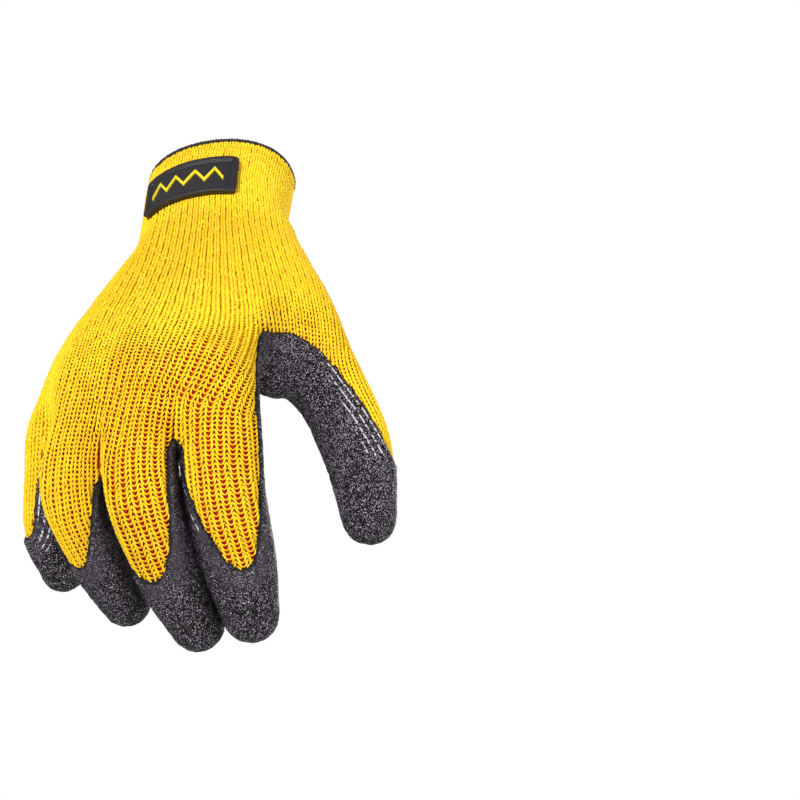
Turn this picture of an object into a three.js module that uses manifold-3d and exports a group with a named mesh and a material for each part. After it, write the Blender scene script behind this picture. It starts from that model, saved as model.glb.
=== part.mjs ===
// Textured rubber glove for the right hand: a seamless knitted liner whose palm, fingertips and thumb are dipped
// in rubber, a ribbed cuff with an overlocked hem, and a moulded patch on the cuff. Millimetres, +Z up.
// The origin is the middle of the cuff's opening. The glove hangs from it along -Z, as a raised wrist holds it,
// with the thumb towards +X, the palm towards +Y and the back of the hand towards -Y.
import * as THREE from 'three';
import Module from 'manifold-3d';

const wasm = await Module();
wasm.setup();

// Walls and clearances
const LINER_WALL = 2.0;
const COAT_WALL = 1.0;
const GAP = 0.3;

// Cuff
const CUFF_LENGTH = 48;
const HEM_RADIUS = 1.2;
const RIB_COUNT = 48;
const RIB_RELIEF = 0.35;

// Facets
const DIGIT_SIDES = 14;
const DIGIT_RINGS = 7;
const CAP_ANGLES = [32, 62];
const HAND_SIDES = 28;
const HAND_RINGS = 8;
const HEM_STEPS = 40;
const HEM_SIDES = 6;
const WEB_SIDES = 12;
const WEB_RINGS = 4;
const CORNER_ANGLES = [0, 30, 60, 90];

// The rows of HAND that the cuff runs through, the step in rows that gives a form's direction, a length past
// everything, and how often the search for a row halves its range
const CUFF_ROWS = [0, 1, 2, 3];
const FRAME_STEP = 0.02;
const FAR = 400;
const HALVINGS = 30;

// The hand's and digits' outer forms, a row for each section. x, y and z are the section's middle, halfWidth is
// measured along the form's across direction and halfDepth square to it.
const COLUMNS = ['x', 'y', 'z', 'halfWidth', 'halfDepth'];
const table = (rows) => rows.map((row) => Object.fromEntries(COLUMNS.map((name, i) => [name, row[i]])));

const HAND = {
  across: new THREE.Vector3(1, 0, 0),
  squareness: 2.15,
  rows: table([
    [0.0, 0.0, 0, 32.4, 23.2],
    [0.2, 0.0, -14, 32.0, 23.3],
    [1.4, 0.0, -36, 31.0, 23.2],
    [2.6, 0.0, -54, 32.6, 22.8],
    [2.6, -3.5, -76, 38.2, 21.5],
    [-1.0, -8.0, -100, 40.8, 20.2],
    [-4.3, -13.0, -124, 42.0, 18.4],
    [-5.3, -15.0, -143, 40.6, 16.4],
    [-7.0, -13.0, -152, 38.0, 12.0],
  ]),
};

// back is the side of the knuckles and nails. tongue gives where the bare knit of the back ends, counted in rows
// along the digit, and its half width where it leaves the hand.
const DIGITS = {
  index: {
    across: new THREE.Vector3(1, 0.1, 0),
    back: new THREE.Vector3(0.2, -1, 0),
    tongue: { start: 0.5, end: 3.97, halfWidth: 15 },
    rows: table([
      [18.8, -11.8, -124.4, 12.7, 11.8],
      [25.0, -16.3, -146.5, 13.7, 12.6],
      [26.6, -7.0, -168.0, 13.8, 12.2],
      [27.0, 4.2, -186.0, 13.3, 12.0],
      [27.9, 23.6, -201.5, 12.0, 11.2],
      [27.0, 41.7, -209.8, 9.2, 9.0],
    ]),
  },
  middle: {
    across: new THREE.Vector3(1, 0, 0),
    back: new THREE.Vector3(-0.15, -1, 0),
    tongue: { start: 0.5, end: 3.95, halfWidth: 12.8 },
    rows: table([
      [-5.2, -15.6, -124.8, 11.8, 11.8],
      [-3.5, -20.6, -146.7, 12.8, 12.6],
      [-2.4, -12.4, -171.6, 12.9, 12.0],
      [-0.7, -2.0, -191.0, 12.5, 11.8],
      [2.6, 22.5, -203.4, 11.0, 10.7],
      [5.7, 43.7, -209.7, 8.8, 8.7],
    ]),
  },
  ring: {
    across: new THREE.Vector3(1, -0.1, 0),
    back: new THREE.Vector3(-0.2, -1, 0),
    tongue: { start: 0.5, end: 3.97, halfWidth: 12.0 },
    rows: table([
      [-21.8, -14.0, -118.0, 11.4, 11.4],
      [-23.3, -18.0, -139.0, 12.0, 12.0],
      [-26.0, -13.0, -163.0, 11.6, 11.3],
      [-28.8, -5.0, -182.4, 11.3, 11.0],
      [-25.3, 16.7, -195.0, 10.4, 10.2],
      [-21.8, 38.0, -199.2, 8.2, 8.2],
    ]),
  },
  pinky: {
    across: new THREE.Vector3(1, -0.25, 0),
    back: new THREE.Vector3(-0.3, -1, 0),
    tongue: { start: 0.5, end: 3.97, halfWidth: 11.0 },
    rows: table([
      [-31.0, -8.5, -110.0, 8.5, 9.5],
      [-37.6, -10.5, -130.0, 11.0, 11.0],
      [-42.6, -5.5, -148.4, 10.5, 10.3],
      [-44.6, 3.0, -163.4, 10.0, 9.9],
      [-48.7, 17.3, -176.5, 9.3, 9.2],
      [-49.4, 35.0, -181.8, 7.5, 7.6],
    ]),
  },
  thumb: {
    across: new THREE.Vector3(0.75, -0.35, 0.5),
    back: new THREE.Vector3(0.82, 0.29, 0.48),
    tongue: { start: 0.2, end: 4.45, halfWidth: 19 },
    rows: table([
      [25.0, 3.0, -50.0, 13.0, 11.0],
      [31.0, 9.4, -73.0, 18.2, 14.6],
      [40.2, 18.0, -91.0, 16.8, 14.4],
      [49.6, 27.5, -107.7, 14.8, 13.4],
      [61.0, 39.8, -134.4, 13.8, 12.2],
      [64.0, 52.9, -159.8, 9.8, 9.8],
    ]),
  },
};

// The fold of knit between the thumb and the index finger
const WEB = {
  across: new THREE.Vector3(0.6, 0.8, 0),
  rows: table([
    [28.0, 0.0, -66.0, 12.0, 11.0],
    [36.0, 5.0, -86.0, 15.0, 12.0],
    [36.0, 6.0, -102.0, 17.0, 9.5],
    [35.5, 7.0, -114.0, 16.5, 8.5],
    [35.5, 7.0, -121.0, 14.5, 7.5],
  ]),
};

// The block that keeps the back of the hand bare. firstRow, rowStep, riseEnd and flatStart are counted in the
// hand's rows, and the tail carries the block's end past the knuckles.
const BARE_BACK = {
  reachX: 80,
  reachY: 70,
  hingeX: 16,
  rise: 42,
  riseEnd: 4.5,
  flatStart: 5.6,
  firstRow: 2,
  rowStep: 0.5,
  tail: new THREE.Vector3(0, 6, -16),
};

// The blocks that keep the digits' backs bare: how far they reach outwards, how square and how narrow they end
const TONGUE = { steps: 9, reach: 34, squareness: 5, tipHalfWidth: 0.4 };

// Where the rubber stops at the wrist on the palm's side: a shallow U, deepest at its middle
const COAT_TOP = { z: -60, middleX: 4, halfSpan: 34, rise: 14, spread: 1.5, bend: 3, steps: 14, topZ: 60 };

// Moulded patch on the back of the cuff. angle is measured about the cuff from +X, turning towards +Y.
const PATCH = {
  angle: -95,
  z: -30.5,
  tilt: 6,
  width: 36,
  height: 23.5,
  thickness: 1.4,
  border: 2.4,
  borderRelief: 0.6,
  borderSlope: 0.3,
  cornerRadius: 2.0,
  steps: 12,
};
const ZIGZAG = { length: 26, rise: 7.0, turns: 8, ribbon: 2.6, thickness: 0.6 };

const KNIT = new THREE.MeshStandardMaterial({ color: 0xf0bc1e, roughness: 0.85, metalness: 0 });
const RIB_KNIT = new THREE.MeshStandardMaterial({ color: 0xf6d233, roughness: 0.85, metalness: 0 });
const RUBBER = new THREE.MeshStandardMaterial({ color: 0x4a464a, roughness: 0.5, metalness: 0 });
const THREAD = new THREE.MeshStandardMaterial({ color: 0x2c1f1c, roughness: 0.8, metalness: 0 });
const PATCH_RUBBER = new THREE.MeshStandardMaterial({ color: 0x37303a, roughness: 0.55, metalness: 0 });
const YELLOW_RUBBER = new THREE.MeshStandardMaterial({ color: 0xe9d21c, roughness: 0.5, metalness: 0 });

// Catmull-Rom value of every column at a place counted in rows.
function sectionAt(rows, place) {
  const k = Math.min(Math.floor(place), rows.length - 2);
  const t = place - k;
  const section = {};
  for (const name of COLUMNS) {
    const p1 = rows[k][name];
    const p2 = rows[k + 1][name];
    const p0 = k > 0 ? rows[k - 1][name] : 2 * p1 - p2;
    const p3 = k + 2 < rows.length ? rows[k + 2][name] : 2 * p2 - p1;
    const a = 2 * p1;
    const b = p2 - p0;
    const c = 2 * p0 - 5 * p1 + 4 * p2 - p3;
    const d = -p0 + 3 * p1 - 3 * p2 + p3;
    section[name] = 0.5 * (a + b * t + c * t * t + d * t * t * t);
  }
  return section;
}

const middleOf = (section) => new THREE.Vector3(section.x, section.y, section.z);

// A section's middle and its three directions: along the form, across it and square to both.
function frameAt({ rows, across }, place) {
  const last = rows.length - 1;
  const section = sectionAt(rows, place);
  const before = middleOf(sectionAt(rows, Math.max(place - FRAME_STEP, 0)));
  const after = middleOf(sectionAt(rows, Math.min(place + FRAME_STEP, last)));
  const along = after.sub(before).normalize();
  const side = across.clone().addScaledVector(along, -across.dot(along)).normalize();
  const deep = new THREE.Vector3().crossVectors(side, along);
  return { section, middle: middleOf(section), along, side, deep };
}

// A closed skin over loops of points that all have the same count. A closed ring of loops needs no ends.
function skin(loops, ring = false) {
  const count = loops[0].length;
  const points = loops.flat();
  const faces = [];
  const spans = ring ? loops.length : loops.length - 1;
  for (let i = 0; i < spans; i++) {
    const here = i * count;
    const next = ((i + 1) % loops.length) * count;
    for (let j = 0; j < count; j++) {
      const k = (j + 1) % count;
      faces.push(here + j, here + k, next + k, here + j, next + k, next + j);
    }
  }
  if (!ring) {
    for (const end of [0, loops.length - 1]) {
      const middle = loops[end].reduce((sum, p) => sum.add(p), new THREE.Vector3()).divideScalar(count);
      const hub = points.push(middle) - 1;
      for (let j = 0; j < count; j++) {
        const a = end * count + j;
        const b = end * count + ((j + 1) % count);
        faces.push(hub, ...(end === 0 ? [b, a] : [a, b]));
      }
    }
  }
  const geometry = new THREE.BufferGeometry();
  geometry.setAttribute('position', new THREE.Float32BufferAttribute(points.flatMap((p) => p.toArray()), 3));
  geometry.setIndex(faces);
  return outward(geometry);
}

// Turn every face over where the skin was wound inside out.
function outward(geometry) {
  const position = geometry.getAttribute('position');
  const index = geometry.getIndex().array;
  const [a, b, c] = [0, 1, 2].map(() => new THREE.Vector3());
  let volume = 0;
  for (let i = 0; i < index.length; i += 3) {
    a.fromBufferAttribute(position, index[i]);
    b.fromBufferAttribute(position, index[i + 1]);
    c.fromBufferAttribute(position, index[i + 2]);
    volume += a.dot(b.cross(c));
  }
  if (volume < 0) {
    for (let i = 0; i < index.length; i += 3) {
      [index[i + 1], index[i + 2]] = [index[i + 2], index[i + 1]];
    }
  }
  return geometry;
}

function toSolid(geometry) {
  const vertProperties = new Float32Array(geometry.getAttribute('position').array);
  const triVerts = new Uint32Array(geometry.getIndex().array);
  return new wasm.Manifold(new wasm.Mesh({ numProp: 3, vertProperties, triVerts }));
}

function toGeometry(solid) {
  const mesh = solid.getMesh();
  const geometry = new THREE.BufferGeometry();
  geometry.setAttribute('position', new THREE.Float32BufferAttribute(mesh.vertProperties, 3));
  geometry.setIndex(new THREE.Uint32BufferAttribute(mesh.triVerts, 1));
  geometry.computeVertexNormals();
  return geometry;
}

const union = (solids) => solids.reduce((sum, solid) => sum.add(solid));

// One superellipse loop round a form, grown outwards by offset and slid along the form by reach.
function loopAt(form, place, offset, sides, shrink = 1, reach = 0) {
  const { section, middle, along, side, deep } = frameAt(form, place);
  const power = 2 / (form.squareness ?? 2);
  const loop = [];
  for (let j = 0; j < sides; j++) {
    const turn = (2 * Math.PI * (j + 0.5)) / sides;
    const u = Math.sign(Math.cos(turn)) * Math.abs(Math.cos(turn)) ** power;
    const v = Math.sign(Math.sin(turn)) * Math.abs(Math.sin(turn)) ** power;
    loop.push(
      middle
        .clone()
        .addScaledVector(side, u * (section.halfWidth + offset) * shrink)
        .addScaledVector(deep, v * (section.halfDepth + offset) * shrink)
        .addScaledVector(along, reach),
    );
  }
  return loop;
}

// A form lofted through its rows, with a round end past the last one.
function loft(form, offset, sides, rings) {
  const last = form.rows.length - 1;
  const loops = [];
  for (let i = 0; i <= rings; i++) {
    loops.push(loopAt(form, (last * i) / rings, offset, sides));
  }
  const end = form.rows[last];
  const radius = Math.min(end.halfWidth, end.halfDepth) + offset;
  for (const angle of CAP_ANGLES) {
    const turn = THREE.MathUtils.degToRad(angle);
    const shrinkage = (1 - Math.cos(turn)) * radius;
    const shrink = 1 - shrinkage / (end.halfWidth + offset);
    loops.push(loopAt(form, last, offset, sides, shrink, radius * Math.sin(turn)));
  }
  return toSolid(skin(loops));
}

// The whole hand, grown outwards by offset.
function hand(offset) {
  const digits = Object.values(DIGITS).map((digit) => loft(digit, offset, DIGIT_SIDES, DIGIT_RINGS));
  return union([loft(HAND, offset, HAND_SIDES, HAND_RINGS), loft(WEB, offset, WEB_SIDES, WEB_RINGS), ...digits]);
}

// A block that takes everything between two heights.
function slab(lowZ, highZ) {
  const box = new THREE.BoxGeometry(FAR, FAR, highZ - lowZ);
  box.translate(0, 0, (lowZ + highZ) / 2);
  return toSolid(merged(box));
}

// Box corners are shared, so that the box is one closed body.
function merged(box) {
  const position = box.getAttribute('position');
  const keys = new Map();
  const points = [];
  const remap = [];
  for (let i = 0; i < position.count; i++) {
    const point = new THREE.Vector3().fromBufferAttribute(position, i);
    const key = point.toArray().join();
    if (!keys.has(key)) {
      keys.set(key, points.push(point) - 1);
    }
    remap.push(keys.get(key));
  }
  const geometry = new THREE.BufferGeometry();
  geometry.setAttribute('position', new THREE.Float32BufferAttribute(points.flatMap((p) => p.toArray()), 3));
  geometry.setIndex(Array.from(box.getIndex().array, (i) => remap[i]));
  return geometry;
}

// The back of a digit that stays bare knit: a tongue that narrows to a round tip before the last joint.
function bareTongue(digit) {
  const { start, end, halfWidth } = digit.tongue;
  const { steps, reach, squareness, tipHalfWidth } = TONGUE;
  const loops = [];
  for (let i = 0; i <= steps; i++) {
    const f = Math.sin(((Math.PI / 2) * i) / steps);
    const place = start + (end - start) * f;
    const { middle, along } = frameAt(digit, place);
    const out = digit.back.clone().addScaledVector(along, -digit.back.dot(along)).normalize();
    const side = new THREE.Vector3().crossVectors(out, along);
    const half = Math.max(halfWidth * Math.sqrt(1 - f ** squareness), tipHalfWidth);
    const corners = [
      [-half, 0],
      [half, 0],
      [half, reach],
      [-half, reach],
    ];
    loops.push(corners.map(([s, o]) => middle.clone().addScaledVector(side, s).addScaledVector(out, o)));
  }
  return toSolid(skin(loops));
}

// The back half of the hand, from the middle line of its edge outwards. Above the thumb's fork the bare knit
// goes on round to the thumb, so the block rises there towards the palm.
function bareBack() {
  const { reachX, reachY, hingeX, rise, riseEnd, flatStart, firstRow, rowStep, tail } = BARE_BACK;
  const last = HAND.rows.length - 1;
  const loops = [];
  for (let place = firstRow; place <= last; place += rowStep) {
    const { middle, side, deep } = frameAt(HAND, place);
    const lift = rise * (1 - THREE.MathUtils.smoothstep(place, riseEnd, flatStart));
    const corners = [
      [-reachX, 0],
      [hingeX, 0],
      [reachX, lift],
      [reachX, -reachY],
      [-reachX, -reachY],
    ];
    loops.push(corners.map(([s, d]) => middle.clone().addScaledVector(side, s).addScaledVector(deep, d)));
  }
  loops.push(loops[loops.length - 1].map((p) => p.clone().add(tail)));
  return toSolid(skin(loops));
}

// All that lies above the rubber's edge at the wrist.
function aboveCoat() {
  const { z, middleX, halfSpan, rise, spread, bend, steps, topZ } = COAT_TOP;
  const loops = [];
  for (let i = 0; i <= steps; i++) {
    const f = spread * ((2 * i) / steps - 1);
    const x = middleX + f * halfSpan;
    const low = z - rise * Math.abs(f) ** bend;
    const corners = [
      [-FAR, low],
      [FAR, low],
      [FAR, topZ],
      [-FAR, topZ],
    ];
    loops.push(corners.map(([y, height]) => new THREE.Vector3(x, y, height)));
  }
  return toSolid(skin(loops));
}

function knitLiner() {
  const shell = hand(0).subtract(hand(-LINER_WALL));
  return shell.intersect(slab(-FAR, -CUFF_LENGTH - GAP));
}

function rubberCoating() {
  const shell = hand(GAP + COAT_WALL).subtract(hand(GAP));
  const bare = union([bareBack(), aboveCoat(), ...Object.values(DIGITS).map(bareTongue)]);
  return shell.subtract(bare);
}

// The cuff's wall, ribbed outside.
function ribCuff() {
  const sides = RIB_COUNT * 2;
  const outer = CUFF_ROWS.map((place) =>
    loopAt(HAND, place, 0, sides).map((p, j) => {
      const { middle } = frameAt(HAND, place);
      const fromMiddle = p.clone().sub(middle);
      const relief = (j % 2 ? -1 : 1) * RIB_RELIEF;
      return p.addScaledVector(fromMiddle.normalize(), relief);
    }),
  );
  const inner = CUFF_ROWS.map((place) => loopAt(HAND, place, -LINER_WALL, HAND_SIDES));
  const thumbRoot = (offset) => loft(DIGITS.thumb, offset, DIGIT_SIDES, DIGIT_RINGS);
  const outside = toSolid(skin(outer)).add(thumbRoot(0));
  const wall = outside.subtract(toSolid(skin(inner))).subtract(thumbRoot(-LINER_WALL));
  return wall.intersect(slab(-CUFF_LENGTH, -2 * HEM_RADIUS - GAP));
}

// The overlocked edge, a soft round bead that sits on the cuff's wall.
function cuffHem() {
  const rim = HAND.rows[0];
  const loops = [];
  for (let i = 0; i < HEM_STEPS; i++) {
    const turn = (2 * Math.PI * i) / HEM_STEPS;
    const out = new THREE.Vector3(Math.cos(turn) / rim.halfWidth, Math.sin(turn) / rim.halfDepth, 0).normalize();
    const middle = new THREE.Vector3(
      (rim.halfWidth - LINER_WALL / 2) * Math.cos(turn),
      (rim.halfDepth - LINER_WALL / 2) * Math.sin(turn),
      -HEM_RADIUS,
    );
    const loop = [];
    for (let j = 0; j < HEM_SIDES; j++) {
      const round = (2 * Math.PI * (j + 0.5)) / HEM_SIDES;
      loop.push(
        middle
          .clone()
          .addScaledVector(out, HEM_RADIUS * Math.cos(round))
          .add(new THREE.Vector3(0, 0, HEM_RADIUS * Math.sin(round))),
      );
    }
    loops.push(loop);
  }
  return toSolid(skin(loops, true));
}

// A place on the patch's seat: u runs round the cuff, v up it and h out of it.
function onCuff(u, v, h) {
  const tilt = THREE.MathUtils.degToRad(PATCH.tilt);
  const along = u * Math.cos(tilt) - v * Math.sin(tilt);
  const z = PATCH.z + u * Math.sin(tilt) + v * Math.cos(tilt);
  const place = sectionPlace(z);
  const { halfWidth, halfDepth, x, y } = sectionAt(HAND.rows, place);
  const meanRadius = (halfWidth + halfDepth) / 2;
  const angle = THREE.MathUtils.degToRad(PATCH.angle) + along / meanRadius;
  const power = 2 / HAND.squareness;
  const c = Math.sign(Math.cos(angle)) * Math.abs(Math.cos(angle)) ** power;
  const s = Math.sign(Math.sin(angle)) * Math.abs(Math.sin(angle)) ** power;
  const out = new THREE.Vector3(c / halfWidth, s / halfDepth, 0).normalize();
  const seat = RIB_RELIEF + GAP + h;
  return new THREE.Vector3(x + halfWidth * c, y + halfDepth * s, z).addScaledVector(out, seat);
}

// The row count at a height on the cuff.
function sectionPlace(z) {
  let low = CUFF_ROWS[0];
  let high = CUFF_ROWS[CUFF_ROWS.length - 1];
  for (let i = 0; i < HALVINGS; i++) {
    const half = (low + high) / 2;
    if (sectionAt(HAND.rows, half).z > z) {
      low = half;
    } else {
      high = half;
    }
  }
  return low;
}

// The patch, a rounded plate with a raised border.
function wristPatch() {
  const { width, height, thickness, border, borderRelief, borderSlope, cornerRadius, steps } = PATCH;
  const top = thickness + borderRelief;
  const corner = CORNER_ANGLES.map((angle) => {
    const turn = THREE.MathUtils.degToRad(angle);
    const u = width / 2 - cornerRadius * (1 - Math.cos(turn));
    return { u, half: height / 2 - cornerRadius * (1 - Math.sin(turn)), floor: top };
  });
  corner.push({ u: width / 2 - border, half: height / 2, floor: top });
  const field = [];
  for (let i = 0; i <= steps; i++) {
    const u = (width / 2 - border - borderSlope) * (1 - (2 * i) / steps);
    field.push({ u, half: height / 2, floor: thickness });
  }
  const farCorner = corner.map((station) => ({ ...station, u: -station.u })).reverse();
  const loops = [...corner, ...field, ...farCorner].map(({ u, half, floor }) => {
    const lip = half - border;
    const profile = [
      [-half, 0],
      [0, 0],
      [half, 0],
      [half, top],
      [lip, top],
      [lip - borderSlope, floor],
      [0, floor],
      [borderSlope - lip, floor],
      [-lip, top],
      [-half, top],
    ];
    return profile.map(([v, h]) => onCuff(u, v, h));
  });
  return toSolid(skin(loops));
}

// A raised zigzag ribbon along the patch, a plain ornament.
function patchZigzag() {
  const { length, rise, turns, ribbon, thickness } = ZIGZAG;
  const low = PATCH.thickness + GAP;
  const loops = [];
  for (let i = 0; i <= turns; i++) {
    const u = -length / 2 + (length * i) / turns;
    const v = (i % 2 ? 1 : -1) * (rise / 2);
    const profile = [
      [v - ribbon / 2, low],
      [v + ribbon / 2, low],
      [v + ribbon / 2, low + thickness],
      [v - ribbon / 2, low + thickness],
    ];
    loops.push(profile.map(([across, h]) => onCuff(u, across, h)));
  }
  return toSolid(skin(loops));
}

const PIECES = [
  { name: 'knit_liner', solid: knitLiner(), material: KNIT },
  { name: 'rib_cuff', solid: ribCuff(), material: RIB_KNIT },
  { name: 'rubber_coating', solid: rubberCoating(), material: RUBBER },
  { name: 'cuff_hem', solid: cuffHem(), material: THREAD },
  { name: 'wrist_patch', solid: wristPatch(), material: PATCH_RUBBER },
  { name: 'patch_zigzag', solid: patchZigzag(), material: YELLOW_RUBBER },
];

const glove = new THREE.Group();
for (const { name, solid, material } of PIECES) {
  const mesh = new THREE.Mesh(toGeometry(solid), material);
  mesh.name = name;
  glove.add(mesh);
}

export default glove;
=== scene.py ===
"""A knitted work glove with a crinkled rubber dip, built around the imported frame.

The glove's skin is a smooth field round the same rows as the solids have, given here in millimetres. It is
meshed once, and the knit, the rubber, the cuff, the hem and the patch are all made on it. The knit is real
yarn: its wales and courses are two coordinates solved for over the skin, with a stitch at each crossing.
"""
import math

import bpy
import numpy as np
from bpy.props import FloatProperty, IntProperty, PointerProperty, StringProperty
from mathutils import Matrix, Vector


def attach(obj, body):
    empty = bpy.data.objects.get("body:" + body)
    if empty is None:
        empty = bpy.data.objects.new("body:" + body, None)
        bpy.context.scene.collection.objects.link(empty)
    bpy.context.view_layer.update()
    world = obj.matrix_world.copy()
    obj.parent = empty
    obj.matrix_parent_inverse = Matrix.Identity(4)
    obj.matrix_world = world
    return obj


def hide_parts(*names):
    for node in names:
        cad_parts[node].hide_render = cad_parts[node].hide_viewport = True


bl_info = {
    "name": "Knitted work glove",
    "version": (1, 0, 0),
    "blender": (4, 5, 0),
    "location": "View3D > Sidebar > Glove",
    "description": "Builds a knitted work glove with a rubber dip, a ribbed cuff and a moulded patch",
    "category": "Object",
}

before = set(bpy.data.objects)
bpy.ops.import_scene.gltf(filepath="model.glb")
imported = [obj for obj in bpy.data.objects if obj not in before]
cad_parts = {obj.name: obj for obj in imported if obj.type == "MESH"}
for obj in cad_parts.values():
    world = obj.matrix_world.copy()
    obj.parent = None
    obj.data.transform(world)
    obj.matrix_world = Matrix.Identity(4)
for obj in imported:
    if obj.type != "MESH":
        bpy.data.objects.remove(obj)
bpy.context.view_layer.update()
MM = 0.001
BODY = "root"

# Rows of the hand and the digits in mm: x, y, z of the middle, half width along the form's across direction
# and half depth
HAND = {
    "across": (1, 0, 0),
    "squareness": 2.15,
    "rows": (
        (0.0, 0.0, 14, 32.6, 23.2),
        (0.0, 0.0, 0, 32.4, 23.2),
        (0.2, 0.0, -14, 32.0, 23.3),
        (1.4, 0.0, -36, 31.0, 23.2),
        (2.6, 0.0, -54, 32.6, 22.8),
        (2.6, -3.5, -76, 38.2, 21.5),
        (-0.7, -8.0, -100, 40.2, 20.0),
        (-3.0, -12.6, -124, 39.8, 17.8),
        (-3.4, -14.6, -143, 37.8, 16.0),
        (-5.4, -13.0, -152, 36.0, 12.0),
    ),
}
DIGITS = {
    "index": {
        "across": (1, 0.1, 0),
        "back": (0.2, -1, 0),
        "rows": (
            (18.8, -11.8, -124.4, 12.7, 11.8),
            (25.0, -16.3, -146.5, 13.7, 12.6),
            (26.6, -7.0, -168.0, 13.8, 12.2),
            (27.0, 4.2, -186.0, 13.3, 12.0),
            (27.9, 23.6, -201.5, 12.0, 11.2),
            (27.0, 41.7, -209.8, 9.2, 9.0),
        ),
    },
    "middle": {
        "across": (1, 0, 0),
        "back": (-0.15, -1, 0),
        "rows": (
            (-5.2, -15.6, -124.8, 11.8, 11.8),
            (-3.5, -20.6, -146.7, 12.8, 12.6),
            (-2.4, -12.4, -171.6, 12.9, 12.0),
            (-0.7, -2.0, -191.0, 12.5, 11.8),
            (2.6, 22.5, -203.4, 11.0, 10.7),
            (5.7, 43.7, -209.7, 8.8, 8.7),
        ),
    },
    "ring": {
        "across": (1, -0.1, 0),
        "back": (-0.2, -1, 0),
        "rows": (
            (-21.8, -14.0, -118.0, 11.4, 11.4),
            (-23.3, -18.0, -139.0, 12.0, 12.0),
            (-26.0, -13.0, -163.0, 11.6, 11.3),
            (-28.8, -5.0, -182.4, 11.3, 11.0),
            (-24.7, 16.7, -195.0, 9.9, 9.9),
            (-21.8, 38.0, -199.2, 8.2, 8.2),
        ),
    },
    "pinky": {
        "across": (1, -0.25, 0),
        "back": (-0.3, -1, 0),
        "rows": (
            (-31.0, -8.5, -110.0, 8.5, 9.5),
            (-36.3, -9.6, -130.0, 9.7, 10.0),
            (-42.6, -5.5, -148.4, 10.5, 10.3),
            (-44.6, 3.0, -163.4, 10.0, 9.9),
            (-48.7, 17.3, -176.5, 9.3, 9.2),
            (-49.4, 35.0, -181.8, 7.5, 7.6),
        ),
    },
    "thumb": {
        "across": (0.75, -0.35, 0.5),
        "back": (0.82, 0.29, 0.48),
        "rows": (
            (24.0, 3.0, -50.0, 12.0, 11.0),
            (30.2, 9.4, -73.0, 16.8, 14.6),
            (39.9, 18.0, -91.0, 16.5, 14.4),
            (50.1, 27.5, -107.7, 14.0, 13.4),
            (61.0, 39.8, -134.4, 13.2, 12.0),
            (64.0, 52.9, -159.8, 9.5, 9.6),
        ),
    },
}
WEB = {
    "across": (0.6, 0.8, 0.45),
    "rows": (
        (28.0, 0.0, -66.0, 12.0, 11.0),
        (36.0, 5.0, -86.0, 15.0, 12.0),
        (36.0, 6.0, -102.0, 17.0, 9.5),
        (34.3, 6.3, -113.6, 15.6, 8.3),
        (32.6, 5.6, -120.6, 12.0, 7.3),
    ),
}

# How softly the forms run into each other, in mm
BLEND_FINGERS = 3.0
BLEND_KNUCKLES = 9.0
BLEND_WEB = 8.0
BLEND_THUMB = 16.0

# The camera: its turn, lift and roll in degrees about a point of the glove, where that point falls in the
# picture, how far off it is in mm, and the focal length in pixels of a picture that wide
CAMERA = {
    "azimuth": 18.9,
    "elevation": -45.8,
    "roll": 5.0,
    "distance": 627.8,
    "focal": 1656.0,
    "target": (0.0, 0.0, -130.0),
    "pixel": (175.0, 389.6),
    "picture": 800.0,
}

# Where the bare knit of each finger's back ends, as the camera sees it, in pixels. Sides that run past the
# finger's outline are drawn wide of it, and HIDDEN_LIMIT ends the knit there instead.
BARE_FINGERS = {
    "index": (
        (172, 330), (172, 439), (176, 445), (179.4, 452), (183, 471), (188.7, 493), (196.8, 514.7),
        (205.4, 530), (211.9, 540.7), (218.4, 549.4), (224.9, 559.2), (233.6, 567.8), (241.2, 571.1),
        (248.8, 568.9), (255.3, 559.2), (257.5, 545), (258.6, 530), (259.6, 512), (259.2, 491),
        (258.6, 469), (257.5, 447), (256, 421), (255.3, 397), (256.8, 376), (258.6, 363), (262, 330),
    ),
    "middle": (
        (84, 330), (84, 440), (86, 484), (94, 520), (106, 548), (124, 560), (132.8, 568.9), (141.5, 578.7),
        (150.1, 583), (158.8, 581.9), (164.2, 574.3), (167.5, 560.3), (169.6, 543), (169.6, 521),
        (168.6, 501), (167.9, 484), (167.5, 469), (166.4, 456), (168, 443), (173, 434), (173, 330),
    ),
    "ring": (
        (28, 330), (28, 480), (36, 520), (50, 548), (66.6, 559.2), (74.2, 566.8), (82.9, 570),
        (86.1, 563.5), (88.3, 549.4), (89.8, 534.2), (91.1, 516.9), (92.7, 495.2), (94.8, 477.8), (98, 462),
        (100, 449), (100, 330),
    ),
    "pinky": (
        (10, 330), (0, 430), (0, 533), (21, 536), (27, 537.5), (29.8, 537.5), (33, 530), (34.7, 517),
        (35.6, 501.7), (37.4, 488.7), (40, 473.5), (42.8, 460.5), (46.5, 447.5), (50, 438), (50, 330),
    ),
}
# The arch of rubber between the index finger and the thumb, closed below
RUBBER_ARCH = (
    (258, 640), (258, 470), (257.5, 447), (256, 421), (255.3, 397), (256.3, 371), (260.1, 357),
    (265.5, 347), (269.8, 338), (275.8, 334), (283.4, 332), (292, 333.6), (300.7, 338), (309.4, 343.3),
    (318.1, 348.2), (324.6, 355.8), (332.1, 363.4), (337.6, 369.9), (344.1, 379.6), (350.6, 387.2),
    (357.1, 397), (364.7, 406.7), (371.7, 418.7), (377.7, 429.5), (384.2, 441.4), (388.5, 452.3),
    (394, 465), (440, 470), (440, 640),
)
# Degrees round a digit from the middle of its back at which the knit ends on the sides that the camera
# misses: on the little finger's side of each finger, and on the palm's side of the thumb
HIDDEN_LIMIT = {"index": 92, "middle": 92, "ring": 92, "pinky": 96, "thumb": 70}
# The row of the thumb's form at which its bare back ends, and about how many mm a row is there
THUMB_LIMIT = {"place": 4.45, "row": 26.0}
# The line of the picture, in pixels, above which the whole back of the hand is bare
KNUCKLE_LINE = 438

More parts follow.
